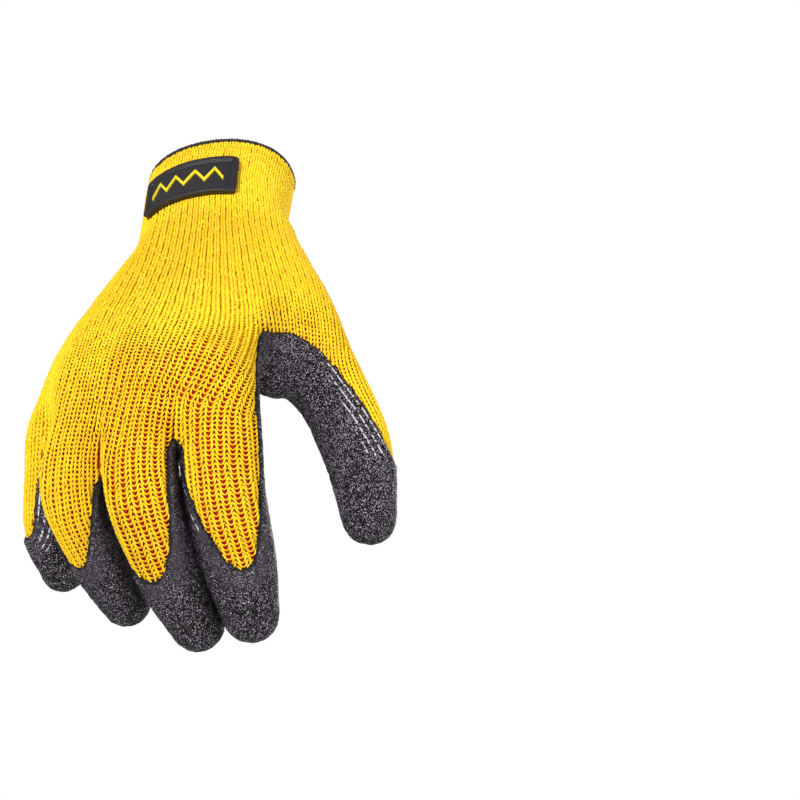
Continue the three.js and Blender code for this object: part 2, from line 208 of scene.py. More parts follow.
# The rubber's edge at the wrist, on the palm: a shallow U that rises with the cube of the distance from its
# middle, as far as widest half spans
COAT_TOP = {"z": -61.0, "middle_x": 4.0, "half_span": 34.0, "rise": 14.0, "widest": 1.3}
# The line round the edge of the hand at which the bare back ends. Past hinge_x it climbs to the palm's
# side, as far as lift at limit_x. Between two rows of the hand, above the thumb's fork, that climb dies
# out.
BACK_LIMIT = {"hinge_x": 16.0, "limit_x": 80.0, "lift": 42.0, "rise_end": 5.64, "flat_start": 6.7}
# How far in mm an edge is looked for, and how steep its distance may be before it is evened out
EDGE = {"reach": 12.0, "least_slope": 0.45, "most_slope": 2.5}

# How far the knit opens on each form, 0 to 1. It opens over some lines of the picture, which climb to the
# right on the hand, and there only right of some columns, all in pixels. It closes again over some degrees
# round a finger.
OPENNESS = {"hand": 1.0, "web": 1.0, "index": 1.0, "middle": 1.0, "ring": 0.85, "pinky": 0.25, "thumb": 0.55}
OPENS = {"lines": (275, 345), "climb": 0.16, "climb_from": 300, "columns": (85, 140), "turn": (42, 80)}

# The grid that the skin is worked out on, and the heights where the cuff and the wrist end, all in mm
CELL = 1.45
GRID_LOW = np.array([-64.0, -38.0, -226.0])
GRID_HIGH = np.array([82.0, 72.0, 7.0])
CUFF_END = -48.0
WRIST_END = -88.0
RIM = -0.6


def unit(vectors):
    """Vectors of length one, along the last axis."""
    return vectors / np.maximum(np.linalg.norm(vectors, axis=-1, keepdims=True), 1e-12)


def smooth_step(low, high, value):
    """0 below low, 1 above high, with a soft climb between."""
    t = np.clip((value - low) / (high - low), 0.0, 1.0)
    return t * t * (3.0 - 2.0 * t)


def soft_min(a, b, blend):
    """The lower of two distances, with a fillet where they meet."""
    h = np.maximum(blend - np.abs(a - b), 0.0) / blend
    return np.minimum(a, b) - h * h * blend * 0.25


class Form:
    """One tube of the glove, sampled along a smooth curve through its rows."""

    def __init__(self, rows, across, squareness=2.0, back=None, step=2.5):
        rows = np.array(rows, float)
        samples, places = [], []
        for k in range(len(rows) - 1):
            p1, p2 = rows[k], rows[k + 1]
            p0 = rows[k - 1] if k > 0 else 2 * p1 - p2
            p3 = rows[k + 2] if k + 2 < len(rows) else 2 * p2 - p1
            count = max(1, int(np.ceil(np.linalg.norm((p2 - p1)[:3]) / step)))
            t = (np.arange(count) / count)[:, None]
            bend = 2 * p0 - 5 * p1 + 4 * p2 - p3
            twist = -p0 + 3 * p1 - 3 * p2 + p3
            samples.append(0.5 * (2 * p1 + (p2 - p0) * t + bend * t**2 + twist * t**3))
            places.append(k + t[:, 0])
        samples = np.concatenate(samples + [rows[-1:]])
        self.place = np.concatenate(places + [[len(rows) - 1.0]])
        self.middle = samples[:, :3]
        self.half = samples[:, 3:5]
        self.squareness = squareness
        across = np.array(across, float)
        self.along = unit(np.gradient(self.middle, axis=0))
        self.side = unit(across - self.along * (self.along @ across)[:, None])
        self.deep = np.cross(self.side, self.along)
        self.back = None if back is None else np.array(back, float)

    def locate(self, points):
        """For each point the nearest place on the curve: sample index and fraction."""
        start = self.middle[:-1]
        step = np.diff(self.middle, axis=0)
        length2 = (step**2).sum(1)
        near = ((self.middle**2).sum(1) - 2 * points @ self.middle.T).argmin(1)
        index = np.zeros(len(points), int)
        fraction = np.zeros(len(points))
        least = np.full(len(points), np.inf)
        for shift in (0, -1):
            k = np.clip(near + shift, 0, len(step) - 1)
            to = points - start[k]
            t = np.clip((to * step[k]).sum(1) / length2[k], 0.0, 1.0)
            gap = ((to - step[k] * t[:, None]) ** 2).sum(1)
            closer = gap < least
            index = np.where(closer, k, index)
            fraction = np.where(closer, t, fraction)
            least = np.where(closer, gap, least)
        return index, fraction

    def local(self, points):
        """Each point in the tube's own directions, with the place in rows and the tube's half sizes there."""
        index, fraction = self.locate(points)
        f = fraction[:, None]
        lerp = lambda values: values[index] * (1 - f) + values[index + 1] * f
        to = points - lerp(self.middle)
        along, side, deep = unit(lerp(self.along)), unit(lerp(self.side)), unit(lerp(self.deep))
        inner = (index + fraction > 0.01) & (index + fraction < len(self.middle) - 1.01)
        place = self.place[index] * (1 - fraction) + self.place[index + 1] * fraction
        return {
            "place": place,
            "to": to,
            "along": along,
            "x": (to * side).sum(1),
            "y": (to * deep).sum(1),
            "beyond": np.where(inner, 0.0, (to * along).sum(1)),
            "half": lerp(self.half),
        }

    def distance(self, points):
        """A distance to the tube's surface, below zero inside."""
        at = self.local(points)
        a, b = at["half"][:, 0], at["half"][:, 1]
        cap = np.minimum(a, b)
        power = self.squareness
        round_part = (np.abs(at["x"] / a) ** power + np.abs(at["y"] / b) ** power) ** (2 / power)
        rho = np.sqrt(round_part + (at["beyond"] / cap) ** 2)
        slope = np.sqrt((at["x"] / a**2) ** 2 + (at["y"] / b**2) ** 2 + (at["beyond"] / cap**2) ** 2)
        slope = slope / np.maximum(rho, 1e-6)
        slope = np.where(rho < 0.3, 1 / cap, np.maximum(slope, 1 / np.maximum(a, b)))
        return (rho - 1) / slope

    def turn(self, points):
        """The local values, and degrees round from the back's middle, above zero towards the thumb."""
        at = self.local(points)
        back = unit(self.back - at["along"] * (at["along"] @ self.back)[:, None])
        side = np.cross(at["along"], back)
        return at, np.degrees(np.arctan2((at["to"] * side).sum(1), (at["to"] * back).sum(1)))


class SkinField:
    """The glove's outer skin as distances on a grid."""

    def __init__(self, forms):
        self.shape = np.ceil((GRID_HIGH - GRID_LOW) / CELL).astype(int) + 1
        axes = [GRID_LOW[i] + CELL * np.arange(self.shape[i]) for i in range(3)]
        # Distances are worked out only this near a form, in mm
        reach = 26.0

        def on_grid(form):
            values = np.full(self.shape, reach)
            size = form.half.max(1)[:, None] + reach * 0.6
            low = np.maximum((form.middle - size).min(0), GRID_LOW)
            high = np.minimum((form.middle + size).max(0), GRID_HIGH)
            first = np.floor((low - GRID_LOW) / CELL).astype(int)
            last = np.minimum(np.ceil((high - GRID_LOW) / CELL).astype(int) + 1, self.shape)
            window = tuple(slice(first[i], last[i]) for i in range(3))
            points = np.stack(np.meshgrid(*[axes[i][window[i]] for i in range(3)], indexing="ij"), -1)
            values[window] = np.minimum(form.distance(points.reshape(-1, 3)).reshape(points.shape[:3]), reach)
            return values

        fingers = on_grid(forms["index"])
        for name in ("middle", "ring", "pinky"):
            fingers = soft_min(fingers, on_grid(forms[name]), BLEND_FINGERS)
        values = soft_min(on_grid(forms["hand"]), on_grid(forms["web"]), BLEND_WEB)
        values = soft_min(values, fingers, BLEND_KNUCKLES)
        values = soft_min(values, on_grid(forms["thumb"]), BLEND_THUMB)
        for axis in range(3):
            values = blurred(values, axis)
        self.values = values
        self.gradient = np.stack(np.gradient(values, CELL), -1)

    def sample(self, values, points):
        """Grid values between the grid's points."""
        at = np.clip((points - GRID_LOW) / CELL, 0, self.shape - 1.001)
        low = at.astype(int)
        t = at - low
        total = 0.0
        for corner in range(8):
            pick = np.array([(corner >> i) & 1 for i in range(3)])
            weight = np.where(pick == 1, t, 1 - t).prod(1)
            index = low + pick
            found = values[index[:, 0], index[:, 1], index[:, 2]]
            total = total + found * (weight if found.ndim == 1 else weight[:, None])
        return total

    def settle(self, points, level=0.0, rounds=3):
        """Points moved onto the surface at that distance."""
        for _ in range(rounds):
            slope = self.sample(self.gradient, points)
            gap = self.sample(self.values, points) - level
            points = points - slope * (gap / np.maximum((slope**2).sum(1), 0.2))[:, None]
        return points

    def normals(self, points):
        """The outward direction at each point."""
        return unit(self.sample(self.gradient, points))


def blurred(values, axis):
    """A grid softened along one axis, so that forms meet in folds and not in creases."""
    weights = (0.06, 0.24, 0.4, 0.24, 0.06)
    padded = np.pad(values, [(2, 2) if i == axis else (0, 0) for i in range(3)], mode="edge")
    total = np.zeros_like(values)
    for k, weight in enumerate(weights):
        window = [slice(None)] * 3
        window[axis] = slice(k, k + values.shape[axis])
        total += weight * padded[tuple(window)]
    return total


def surface_nets(values, low, cell):
    """Quads over the surface where a grid's values cross zero, with one point in each crossed cell."""
    shape = np.array(values.shape)
    inside = values < 0
    count = np.zeros(shape - 1, int)
    for corner in range(8):
        d = [(corner >> i) & 1 for i in range(3)]
        count += inside[tuple(slice(d[i], shape[i] - 1 + d[i]) for i in range(3))]
    active = (count > 0) & (count < 8)
    ids = -np.ones(active.shape, int)
    ids[active] = np.arange(active.sum())
    base = np.argwhere(active)
    total = np.zeros((len(base), 3))
    hits = np.zeros(len(base))
    for axis in range(3):
        others = [i for i in range(3) if i != axis]
        for corner in range(4):
            start = base.copy()
            start[:, others[0]] += corner & 1
            start[:, others[1]] += corner >> 1
            end = start.copy()
            end[:, axis] += 1
            a, b = values[tuple(start.T)], values[tuple(end.T)]
            crossed = (a < 0) != (b < 0)
            point = start.astype(float)
            point[:, axis] += a / (a - b + 1e-30)
            total[crossed] += point[crossed]
            hits[crossed] += 1
    points = low + cell * total / hits[:, None]
    quads = []
    for axis in range(3):
        p, q = (axis + 1) % 3, (axis + 2) % 3
        here, there = [slice(None)] * 3, [slice(None)] * 3
        here[axis], there[axis] = slice(0, shape[axis] - 1), slice(1, shape[axis])
        edges = np.argwhere(inside[tuple(here)] != inside[tuple(there)])
        sideways = edges[:, [p, q]]
        edges = edges[((sideways > 0) & (sideways < shape[[p, q]] - 1)).all(1)]
        corners = []
        for dp, dq in ((0, 0), (1, 0), (1, 1), (0, 1)):
            cell_index = edges.copy()
            cell_index[:, p] -= dp
            cell_index[:, q] -= dq
            corners.append(ids[tuple(cell_index.T)])
        faces = np.stack(corners, 1)
        flip = ~inside[tuple(edges.T)]
        faces[flip] = faces[flip][:, ::-1]
        quads.append(faces)
    return points, np.concatenate(quads)


def edges_of(faces):
    """Each face's sides as sorted pairs: the unique pairs, and each side's index among them."""
    sides = np.stack([faces, np.roll(faces, -1, axis=1)], -1).reshape(-1, 2)
    pairs = np.sort(sides, axis=1)
    key = pairs[:, 0] * (faces.max() + 1) + pairs[:, 1]
    _, first, index = np.unique(key, return_index=True, return_inverse=True)
    return pairs[first], index.reshape(faces.shape)


def scatter(index, values, size):
    """Sums of values over an index, one column at a time."""
    if values.ndim == 1:
        return np.bincount(index, values, size)
    return np.stack([np.bincount(index, column, size) for column in values.T], 1)


def relaxed(values, pairs, rounds):
    """Values at mesh points, each drawn halfway to the mean of its neighbours in every round."""
    size = len(values)
    a, b = pairs.T
    degree = np.maximum(np.bincount(pairs.ravel(), minlength=size), 1)
    for _ in range(rounds):
        total = scatter(a, values[b], size) + scatter(b, values[a], size)
        mean = total / (degree if values.ndim == 1 else degree[:, None])
        values = values + 0.5 * (mean - values)
    return values


def divided(points, quads, extras):
    """One Catmull-Clark division of a quad mesh. extras are values at the points, divided linearly."""
    pairs, side = edges_of(quads)
    size = len(points)
    face_points = points[quads].mean(1)
    side_faces = np.bincount(side.ravel(), minlength=len(pairs))
    spread = np.repeat(face_points, 4, axis=0)
    side_sum = scatter(side.ravel(), spread, len(pairs))
    middles = points[pairs].mean(1)
    edge_points = np.where((side_faces == 2)[:, None], (points[pairs].sum(1) + side_sum) / 4, middles)
    valence = np.bincount(quads.ravel(), minlength=size)
    face_mean = scatter(quads.ravel(), spread, size) / np.maximum(valence, 1)[:, None]
    ends = np.bincount(pairs.ravel(), minlength=size)
    edge_mean = scatter(pairs.ravel(), np.repeat(middles, 2, axis=0), size) / np.maximum(ends, 1)[:, None]
    n = np.maximum(valence, 3)[:, None]
    moved = (face_mean + 2 * edge_mean + (n - 3) * points) / n
    moved = np.where((ends == valence)[:, None], moved, points)
    new_points = np.concatenate([moved, edge_points, face_points])
    first_edge, first_face = size, size + len(pairs)
    hubs = first_face + np.arange(len(quads))
    on_side = first_edge + side
    faces = [np.stack([quads[:, k], on_side[:, k], hubs, on_side[:, k - 1]], 1) for k in range(4)]
    new_extras = {
        name: np.concatenate([value, value[pairs].mean(1), value[quads].mean(1)])
        for name, value in extras.items()
    }
    return new_points, np.concatenate(faces), new_extras


def triangles_of(quads):
    """Two triangles for each quad."""
    return np.concatenate([quads[:, [0, 1, 2]], quads[:, [0, 2, 3]]])


def cut_above(points, triangles, value, extras):
    """The part of a mesh where value is above zero, cut cleanly along zero."""
    # No point lies so near the cut that it leaves a sliver
    least = 0.12
    value = np.where(value >= 0, np.maximum(value, least), np.minimum(value, -least))
    inside = value > 0
    count = inside[triangles].sum(1)
    whole = triangles[count == 3]
    new_faces = [whole]
    pairs_needed = []
    plans = []
    for kept in (1, 2):
        some = triangles[count == kept]
        odd = np.where(inside[some] == (kept == 1))
        order = np.stack([(odd[1] + k) % 3 for k in range(3)], 1)
        turned = some[odd[0][:, None], order]
        a, b, c = turned.T
        pairs_needed += [np.stack([a, b], 1), np.stack([a, c], 1)]
        plans.append((kept, a, b, c))
    pairs = np.sort(np.concatenate(pairs_needed), axis=1)
    key = pairs[:, 0] * len(points) + pairs[:, 1]
    _, first, index = np.unique(key, return_index=True, return_inverse=True)
    pairs = pairs[first]
    va, vb = value[pairs[:, 0]], value[pairs[:, 1]]
    t = va / (va - vb)

    def between(values):
        f = t if values.ndim == 1 else t[:, None]
        return values[pairs[:, 0]] * (1 - f) + values[pairs[:, 1]] * f

    all_points = np.concatenate([points, between(points)])
    all_extras = {name: np.concatenate([v, between(v)]) for name, v in extras.items()}
    index = index + len(points)
    at = 0
    for kept, a, b, c in plans:
        ab = index[at : at + len(a)]
        ac = index[at + len(a) : at + 2 * len(a)]
        at += 2 * len(a)
        if kept == 1:
            new_faces.append(np.stack([a, ab, ac], 1))
        else:
            new_faces.append(np.stack([ab, b, c], 1))
            new_faces.append(np.stack([ab, c, ac], 1))
    return packed(all_points, np.concatenate(new_faces), all_extras)


def packed(points, triangles, extras):
    """A mesh without unused points."""
    used, remap = np.unique(triangles, return_inverse=True)
    return points[used], remap.reshape(triangles.shape), {name: v[used] for name, v in extras.items()}


def largest_part(points, triangles, extras):
    """The mesh's largest connected part."""
    label = np.arange(len(points))
    while True:
        low = label[triangles].min(1)
        new = label.copy()
        for k in range(3):
            np.minimum.at(new, triangles[:, k], low)
        new = new[new]
        if (new == label).all():
            break
        label = new
    names, count = np.unique(label[triangles[:, 0]], return_counts=True)
    keep = triangles[label[triangles[:, 0]] == names[count.argmax()]]
    return packed(points, keep, extras)


def rim_loops(triangles):
    """The open edges of a mesh as closed loops, longest first."""
    sides = np.concatenate([triangles[:, [0, 1]], triangles[:, [1, 2]], triangles[:, [2, 0]]])
    size = triangles.max() + 1
    forward = sides[:, 0] * size + sides[:, 1]
    backward = sides[:, 1] * size + sides[:, 0]
    open_sides = sides[~np.isin(forward, backward)]
    follow = dict(open_sides.tolist())
    loops = []
    while follow:
        start, here = follow.popitem()
        loop = [start]
        while here != start and here in follow:
            loop.append(here)
            here = follow.pop(here)
        loops.append(np.array(loop))
    return sorted(loops, key=len, reverse=True)


def zipped(points, loop_a, loop_b):
    """Triangles between two open edges that run beside each other, each given as its own mesh goes round."""
    a = points[loop_a]
    loop_b = loop_b[::-1]
    loop_b = np.roll(loop_b, -int(((points[loop_b] - a[0]) ** 2).sum(1).argmin()))
    b = points[loop_b]
    i = j = 0
    faces = []
    while i < len(a) or j < len(b):
        here_a, next_a = loop_a[i % len(a)], loop_a[(i + 1) % len(a)]
        here_b, next_b = loop_b[j % len(b)], loop_b[(j + 1) % len(b)]
        step_a = ((points[next_a] - points[here_b]) ** 2).sum() if i < len(a) else np.inf
        step_b = ((points[next_b] - points[here_a]) ** 2).sum() if j < len(b) else np.inf
        if step_a <= step_b:
            faces.append((next_a, here_a, here_b))
            i += 1
        else:
            faces.append((here_b, next_b, here_a))
            j += 1
    return np.array(faces)


def joined(*meshes):
    """Several point and triangle lists as one."""
    points, faces, at = [], [], 0
    for mesh_points, triangles in meshes:
        points.append(mesh_points)
        faces.append(triangles + at)
        at += len(mesh_points)
    return np.concatenate(points), np.concatenate(faces)


def camera_axes():
    """The camera's place in mm and its right, up and backward directions."""
    turn, lift, roll = (math.radians(CAMERA[name]) for name in ("azimuth", "elevation", "roll"))
    back = np.array([math.sin(turn) * math.cos(lift), -math.cos(turn) * math.cos(lift), math.sin(lift)])
    right = np.array([math.cos(turn), math.sin(turn), 0.0])
    up = np.cross(back, right)
    right, up = right * math.cos(roll) + up * math.sin(roll), up * math.cos(roll) - right * math.sin(roll)
    half, scale = CAMERA["picture"] / 2, CAMERA["distance"] / CAMERA["focal"]
    aside, down = (CAMERA["pixel"][0] - half) * scale, (CAMERA["pixel"][1] - half) * scale
    place = np.array(CAMERA["target"]) + back * CAMERA["distance"] - right * aside + up * down
    return place, right, up, back


def seen(points):
    """Where points fall in the picture, in pixels, and how many mm a pixel is there."""
    place, right, up, back = camera_axes()
    to = points - place
    depth = -(to @ back)
    scale = CAMERA["focal"] / depth
    half = CAMERA["picture"] / 2
    return np.stack([half + scale * (to @ right), half - scale * (to @ up)], 1), 1 / scale


def facing_camera(points, normals):
    """How squarely each place faces the camera: 1 at most, below zero where it faces away."""
    return (unit(camera_axes()[0] - points) * normals).sum(1)


def inside_by(pixels, outline):
    """How many pixels inside a closed outline each place is, below zero outside."""
    outline = np.array(outline, float)
    nxt = np.roll(outline, -1, axis=0)
    nearest = np.full(len(pixels), np.inf)
    odd = np.zeros(len(pixels), bool)
    x, y = pixels.T
    for (ax, ay), (bx, by) in zip(outline, nxt):
        dx, dy = bx - ax, by - ay
        t = np.clip(((x - ax) * dx + (y - ay) * dy) / (dx * dx + dy * dy), 0, 1)
        nearest = np.minimum(nearest, np.hypot(x - ax - dx * t, y - ay - dy * t))
        crosses = (ay > y) != (by > y)
        with np.errstate(divide="ignore", invalid="ignore"):
            odd ^= crosses & (x < (bx - ax) * (y - ay) / (by - ay) + ax)
    return np.where(odd, nearest, -nearest)


def noise(points, size, seed):
    """Smooth random values between -1 and 1, with features of about that size in mm."""
    at = points / size
    low = np.floor(at).astype(np.int64)
    t = at - low
    t = t * t * (3 - 2 * t)
    total = np.zeros(len(points))
    for corner in range(8):
        pick = np.array([(corner >> i) & 1 for i in range(3)])
        key = (low + pick) @ np.array([73856093, 19349663, 83492791]) + seed * 40503
        key = (key ^ (key >> 13)) * 1274126177
        value = ((key ^ (key >> 16)) & 65535) / 32767.5 - 1
        total += value * np.where(pick == 1, t, 1 - t).prod(1)
    return total


def slopes(points, triangles):
    """The gradient of a value that is 1 at one corner of a triangle and 0 at the others, and the areas."""
    a, b, c = (points[triangles[:, k]] for k in range(3))
    normal = np.cross(b - a, c - a)
    double = np.maximum(np.linalg.norm(normal, axis=1), 1e-9)
    sides = np.stack([c - b, a - c, b - a], 1)
    gradient = np.cross((normal / double[:, None])[:, None], sides) / double[:, None, None]
    return gradient, double / 2


def solved(index, weight, target, size, start, rounds):
    """The values at mesh points that give each row its target as nearly as can be, by conjugate gradients."""
    flat = index.ravel()

    def applied(x):
        row = (weight * x[index]).sum(1)
        return np.bincount(flat, (weight * row[:, None]).ravel(), size)

    scale = 1 / (np.bincount(flat, (weight**2).ravel(), size) + 1e-9)
    x = start.copy()
    residual = np.bincount(flat, (weight * target[:, None]).ravel(), size) - applied(x)
    z = scale * residual
    direction = z.copy()
    rho = residual @ z
    first = rho
    for _ in range(rounds):
        moved = applied(direction)
        step = rho / (direction @ moved)
        x += step * direction
        residual -= step * moved
        z = scale * residual
        new_rho = residual @ z
        if new_rho < first * 1e-10:
            break
        direction = z + (new_rho / rho) * direction
        rho = new_rho
    return x


class Skin:
    """The glove's outer skin as a mesh, with what is knit, what is rubber, and how the knit runs."""

    def __init__(self):
        forms = {"hand": Form(HAND["rows"], HAND["across"], HAND["squareness"], step=3.0)}
        forms["web"] = Form(WEB["rows"], WEB["across"])
        for name, digit in DIGITS.items():
            forms[name] = Form(digit["rows"], digit["across"], back=digit["back"])
        self.forms = forms
        self.field = SkinField(forms)
        points, self.quads = surface_nets(self.field.values, GRID_LOW, CELL)
        self.pairs, _ = edges_of(self.quads)
        for _ in range(3):
            points = self.field.settle(relaxed(points, self.pairs, 2))
        self.points = points
        self.normals = self.field.normals(points)
        self.shares = self.form_shares(points, 1.6)
        self.bare = self.bare_knit()
        self.openness = self.knit_openness()

    def coarse(self):
        """The skin again as a mesh of twice the step, as points and triangles."""
        points, quads = surface_nets(self.field.values[::2, ::2, ::2], GRID_LOW, 2 * CELL)
        pairs, _ = edges_of(quads)
        points = self.field.settle(relaxed(points, pairs, 2))
        return points, triangles_of(quads)

    def near(self, values, points):
        """Values at the skin's own points carried over to other points of the skin."""
        shape = self.field.shape
        cells = np.round((self.points - GRID_LOW) / CELL).astype(int)
        flat = np.ravel_multi_index(tuple(cells.T), shape)
        found = []
        for column in (values, np.ones(len(flat))):
            grid = np.bincount(flat, column, shape.prod()).reshape(shape)
            for axis in range(3):
                grid = blurred(grid, axis)
            found.append(self.field.sample(grid, points))
        return found[0] / np.maximum(found[1], 1e-9)

    def form_shares(self, points, softness):
        """How much each point belongs to each form. It changes over softness in mm."""
        gaps = np.stack([form.distance(points) for form in self.forms.values()], 1)
        weight = np.exp(-(gaps - gaps.min(1, keepdims=True)) / softness)
        return dict(zip(self.forms, (weight / weight.sum(1, keepdims=True)).T))

    def on_fingers(self, points, softness):
        """How much each point belongs to the four fingers."""
        shares = self.form_shares(points, softness)
        return sum(shares[name] for name in DIGITS if name != "thumb")

    def bare_knit(self):
        """How far inside the bare knit each point is in mm, and below zero how far under the rubber."""
        points = self.points
        pixels, size = seen(points)
        fingers = {name: inside_by(pixels, outline) * size for name, outline in BARE_FINGERS.items()}
        arch = inside_by(pixels, RUBBER_ARCH) * size
        hand = self.forms["hand"].local(points)
        flat = smooth_step(BACK_LIMIT["rise_end"], BACK_LIMIT["flat_start"], hand["place"])
        steep = BACK_LIMIT["lift"] * (1 - flat) / (BACK_LIMIT["limit_x"] - BACK_LIMIT["hinge_x"])
        past = np.maximum(hand["x"] - BACK_LIMIT["hinge_x"], 0.0)
        back = (steep * past - hand["y"]) / np.sqrt(1 + steep**2)
        above = np.maximum.reduce([*fingers.values(), (KNUCKLE_LINE - pixels[:, 1]) * size])
        total = np.zeros(len(points))
        for name, share in self.shares.items():
            if name in ("hand", "web"):
                own = np.minimum.reduce([back, above, -arch])
            else:
                at, turn = self.forms[name].turn(points)
                round_mm = np.radians(1) * at["half"].mean(1)
                if name == "thumb":
                    tip = (THUMB_LIMIT["place"] - at["place"]) * THUMB_LIMIT["row"]
                    own = np.minimum.reduce([(turn + HIDDEN_LIMIT[name]) * round_mm, tip, -arch])
                else:
                    own = np.minimum(fingers[name], (HIDDEN_LIMIT[name] - np.abs(turn)) * round_mm)
            total += share * np.clip(own, -EDGE["reach"], EDGE["reach"])
        off_middle = np.abs(points[:, 0] - COAT_TOP["middle_x"]) / COAT_TOP["half_span"]
        rise = COAT_TOP["rise"] * np.minimum(off_middle, COAT_TOP["widest"]) ** 3
        wrist = points[:, 2] - COAT_TOP["z"] + rise
        total = np.maximum(total, np.clip(wrist, -EDGE["reach"], EDGE["reach"]))
        return self.evened(relaxed(total, self.pairs, 5))

    def evened(self, values):
        """Distances to an edge with their slope along the skin brought to one."""
        triangles = triangles_of(self.quads)
        gradient, area = slopes(self.points, triangles)
        slope = np.linalg.norm((gradient * values[triangles][..., None]).sum(1), axis=1)
        weight = scatter(triangles.ravel(), np.repeat(area, 3), len(values))
        slope = scatter(triangles.ravel(), np.repeat(area * slope, 3), len(values)) / np.maximum(weight, 1e-9)
        slope = relaxed(slope, self.pairs, 6)
        return values / np.clip(slope, EDGE["least_slope"], EDGE["most_slope"])

    def knit_openness(self):
        """How open the knit is: 0 where its loops close up to cords, 1 where a hole shows beside each."""
        pixels, _ = seen(self.points)
        x, y = pixels.T
        climbing = y + OPENS["climb"] * (x - OPENS["climb_from"])
        on_hand = smooth_step(*OPENS["lines"], climbing) * smooth_step(*OPENS["columns"], x)
        total = 0.0
        for name, share in self.shares.items():
            own = on_hand
            if name in DIGITS:
                _, turn = self.forms[name].turn(self.points)
                closed = 0.0 if name == "thumb" else smooth_step(*OPENS["turn"], turn)
                own = (1 - closed) * smooth_step(*OPENS["lines"], y)
            total = total + share * OPENNESS[name] * own
        return relaxed(total, self.pairs, 6)


# The knit: the width of a wale and the height of a course in mm as a stitch is drawn, how many wales go
# round the cuff, and how firmly the spacing, the seen flow and the levels are kept beside the directions.
# margin is how far under the rubber the knit is still worked out, and palm_seam_end where the seam on the
# palm ends, in mm.
KNIT = {
    "wale": 4.2,
    "course": 1.7,
    "round_cuff": 65,
    "spacing_pull": 0.2,
    "flow_pull": 1.1,
    "level_pull": 0.3,
    "margin": -4.0,
    "palm_seam_end": -84.0,
    "rounds": 900,
}
# How wide a wale lies on each form, in mm
WALE_WIDTH = {"hand": 3.3, "web": 3.3, "index": 4.3, "middle": 4.2, "ring": 3.5, "pinky": 3.2, "thumb": 3.2}
# How the wales run as the camera sees them: the place in pixels, their lean from upright in degrees, above
# zero where they run down to the left, and the pixels between a wale's middle and its edge. Each counts for
# places about FLOW_REACH pixels round it.
FLOW = (
    (160, 245, 33, 2.8), (180, 245, 17, 2.7), (195, 250, 8, 2.8), (213, 250, 1, 3.2), (232, 255, -5, 3.6),
    (250, 250, -15, 2.8), (270, 245, -21, 2.5), (283, 260, -25, 2.3), (135, 300, 31, 3.1),
    (150, 275, 26, 2.8), (175, 290, 16, 3.8), (200, 285, 3, 4.2), (222, 295, -12, 4.4),
    (245, 288, -14, 3.7), (262, 295, -13, 3.3), (275, 285, -14, 3.2), (300, 285, -17, 2.65),
    (250, 312, -14, 3.7), (268, 318, -15, 3.1), (290, 300, -8, 2.9), (297, 320, -5, 2.85),
    (312, 318, -3, 2.95), (322, 310, -8, 2.85), (325, 342, 14, 3.5), (336, 345, 6, 3.6),
    (345, 362, -6, 3.9), (352, 380, -27, 3.2), (366, 405, -27, 3.0), (110, 330, 18, 3.2),
    (148, 322, 24, 4.2), (180, 330, 22, 4.8), (230, 320, 16, 5.6), (215, 350, 30, 5.5), (250, 345, 30, 5.3),
    (85, 360, 18, 2.8), (130, 360, 14, 4.2), (160, 360, 18, 4.4), (200, 380, 26, 4.4), (245, 390, 28, 4.4),
    (102, 382, 10, 2.8), (120, 400, 19, 3.8), (60, 440, 13, 3.5), (57, 468, 3, 3.6), (75, 460, 4, 4.2),
    (110, 432, 12, 3.6), (150, 440, 6, 5.3), (225, 440, 2, 6.6), (120, 480, -3, 5.6), (200, 470, -8, 5.4),
    (75, 500, -7, 4.1), (150, 500, -14, 6.6), (235, 500, -11, 6.7), (140, 540, -21, 5.4),
    (235, 545, -18, 5.9), (165, 200, 14, 2.9), (215, 200, 4, 2.9), (265, 200, -6, 2.9),
)
FLOW_REACH = 16.0
# How the last loops duck under the rubber: how deep, and how far inside the bare knit they start, are all
# down and end. They also stop short of the rim. All in mm.
TUCK = {"depth": 0.8, "starts": 0.2, "sunk": -1.6, "ends": -2.3, "below_rim": 1.8}


def picked(rows, keep):
    """The rows where keep is true."""
    return {name: value[keep] for name, value in rows.items()}


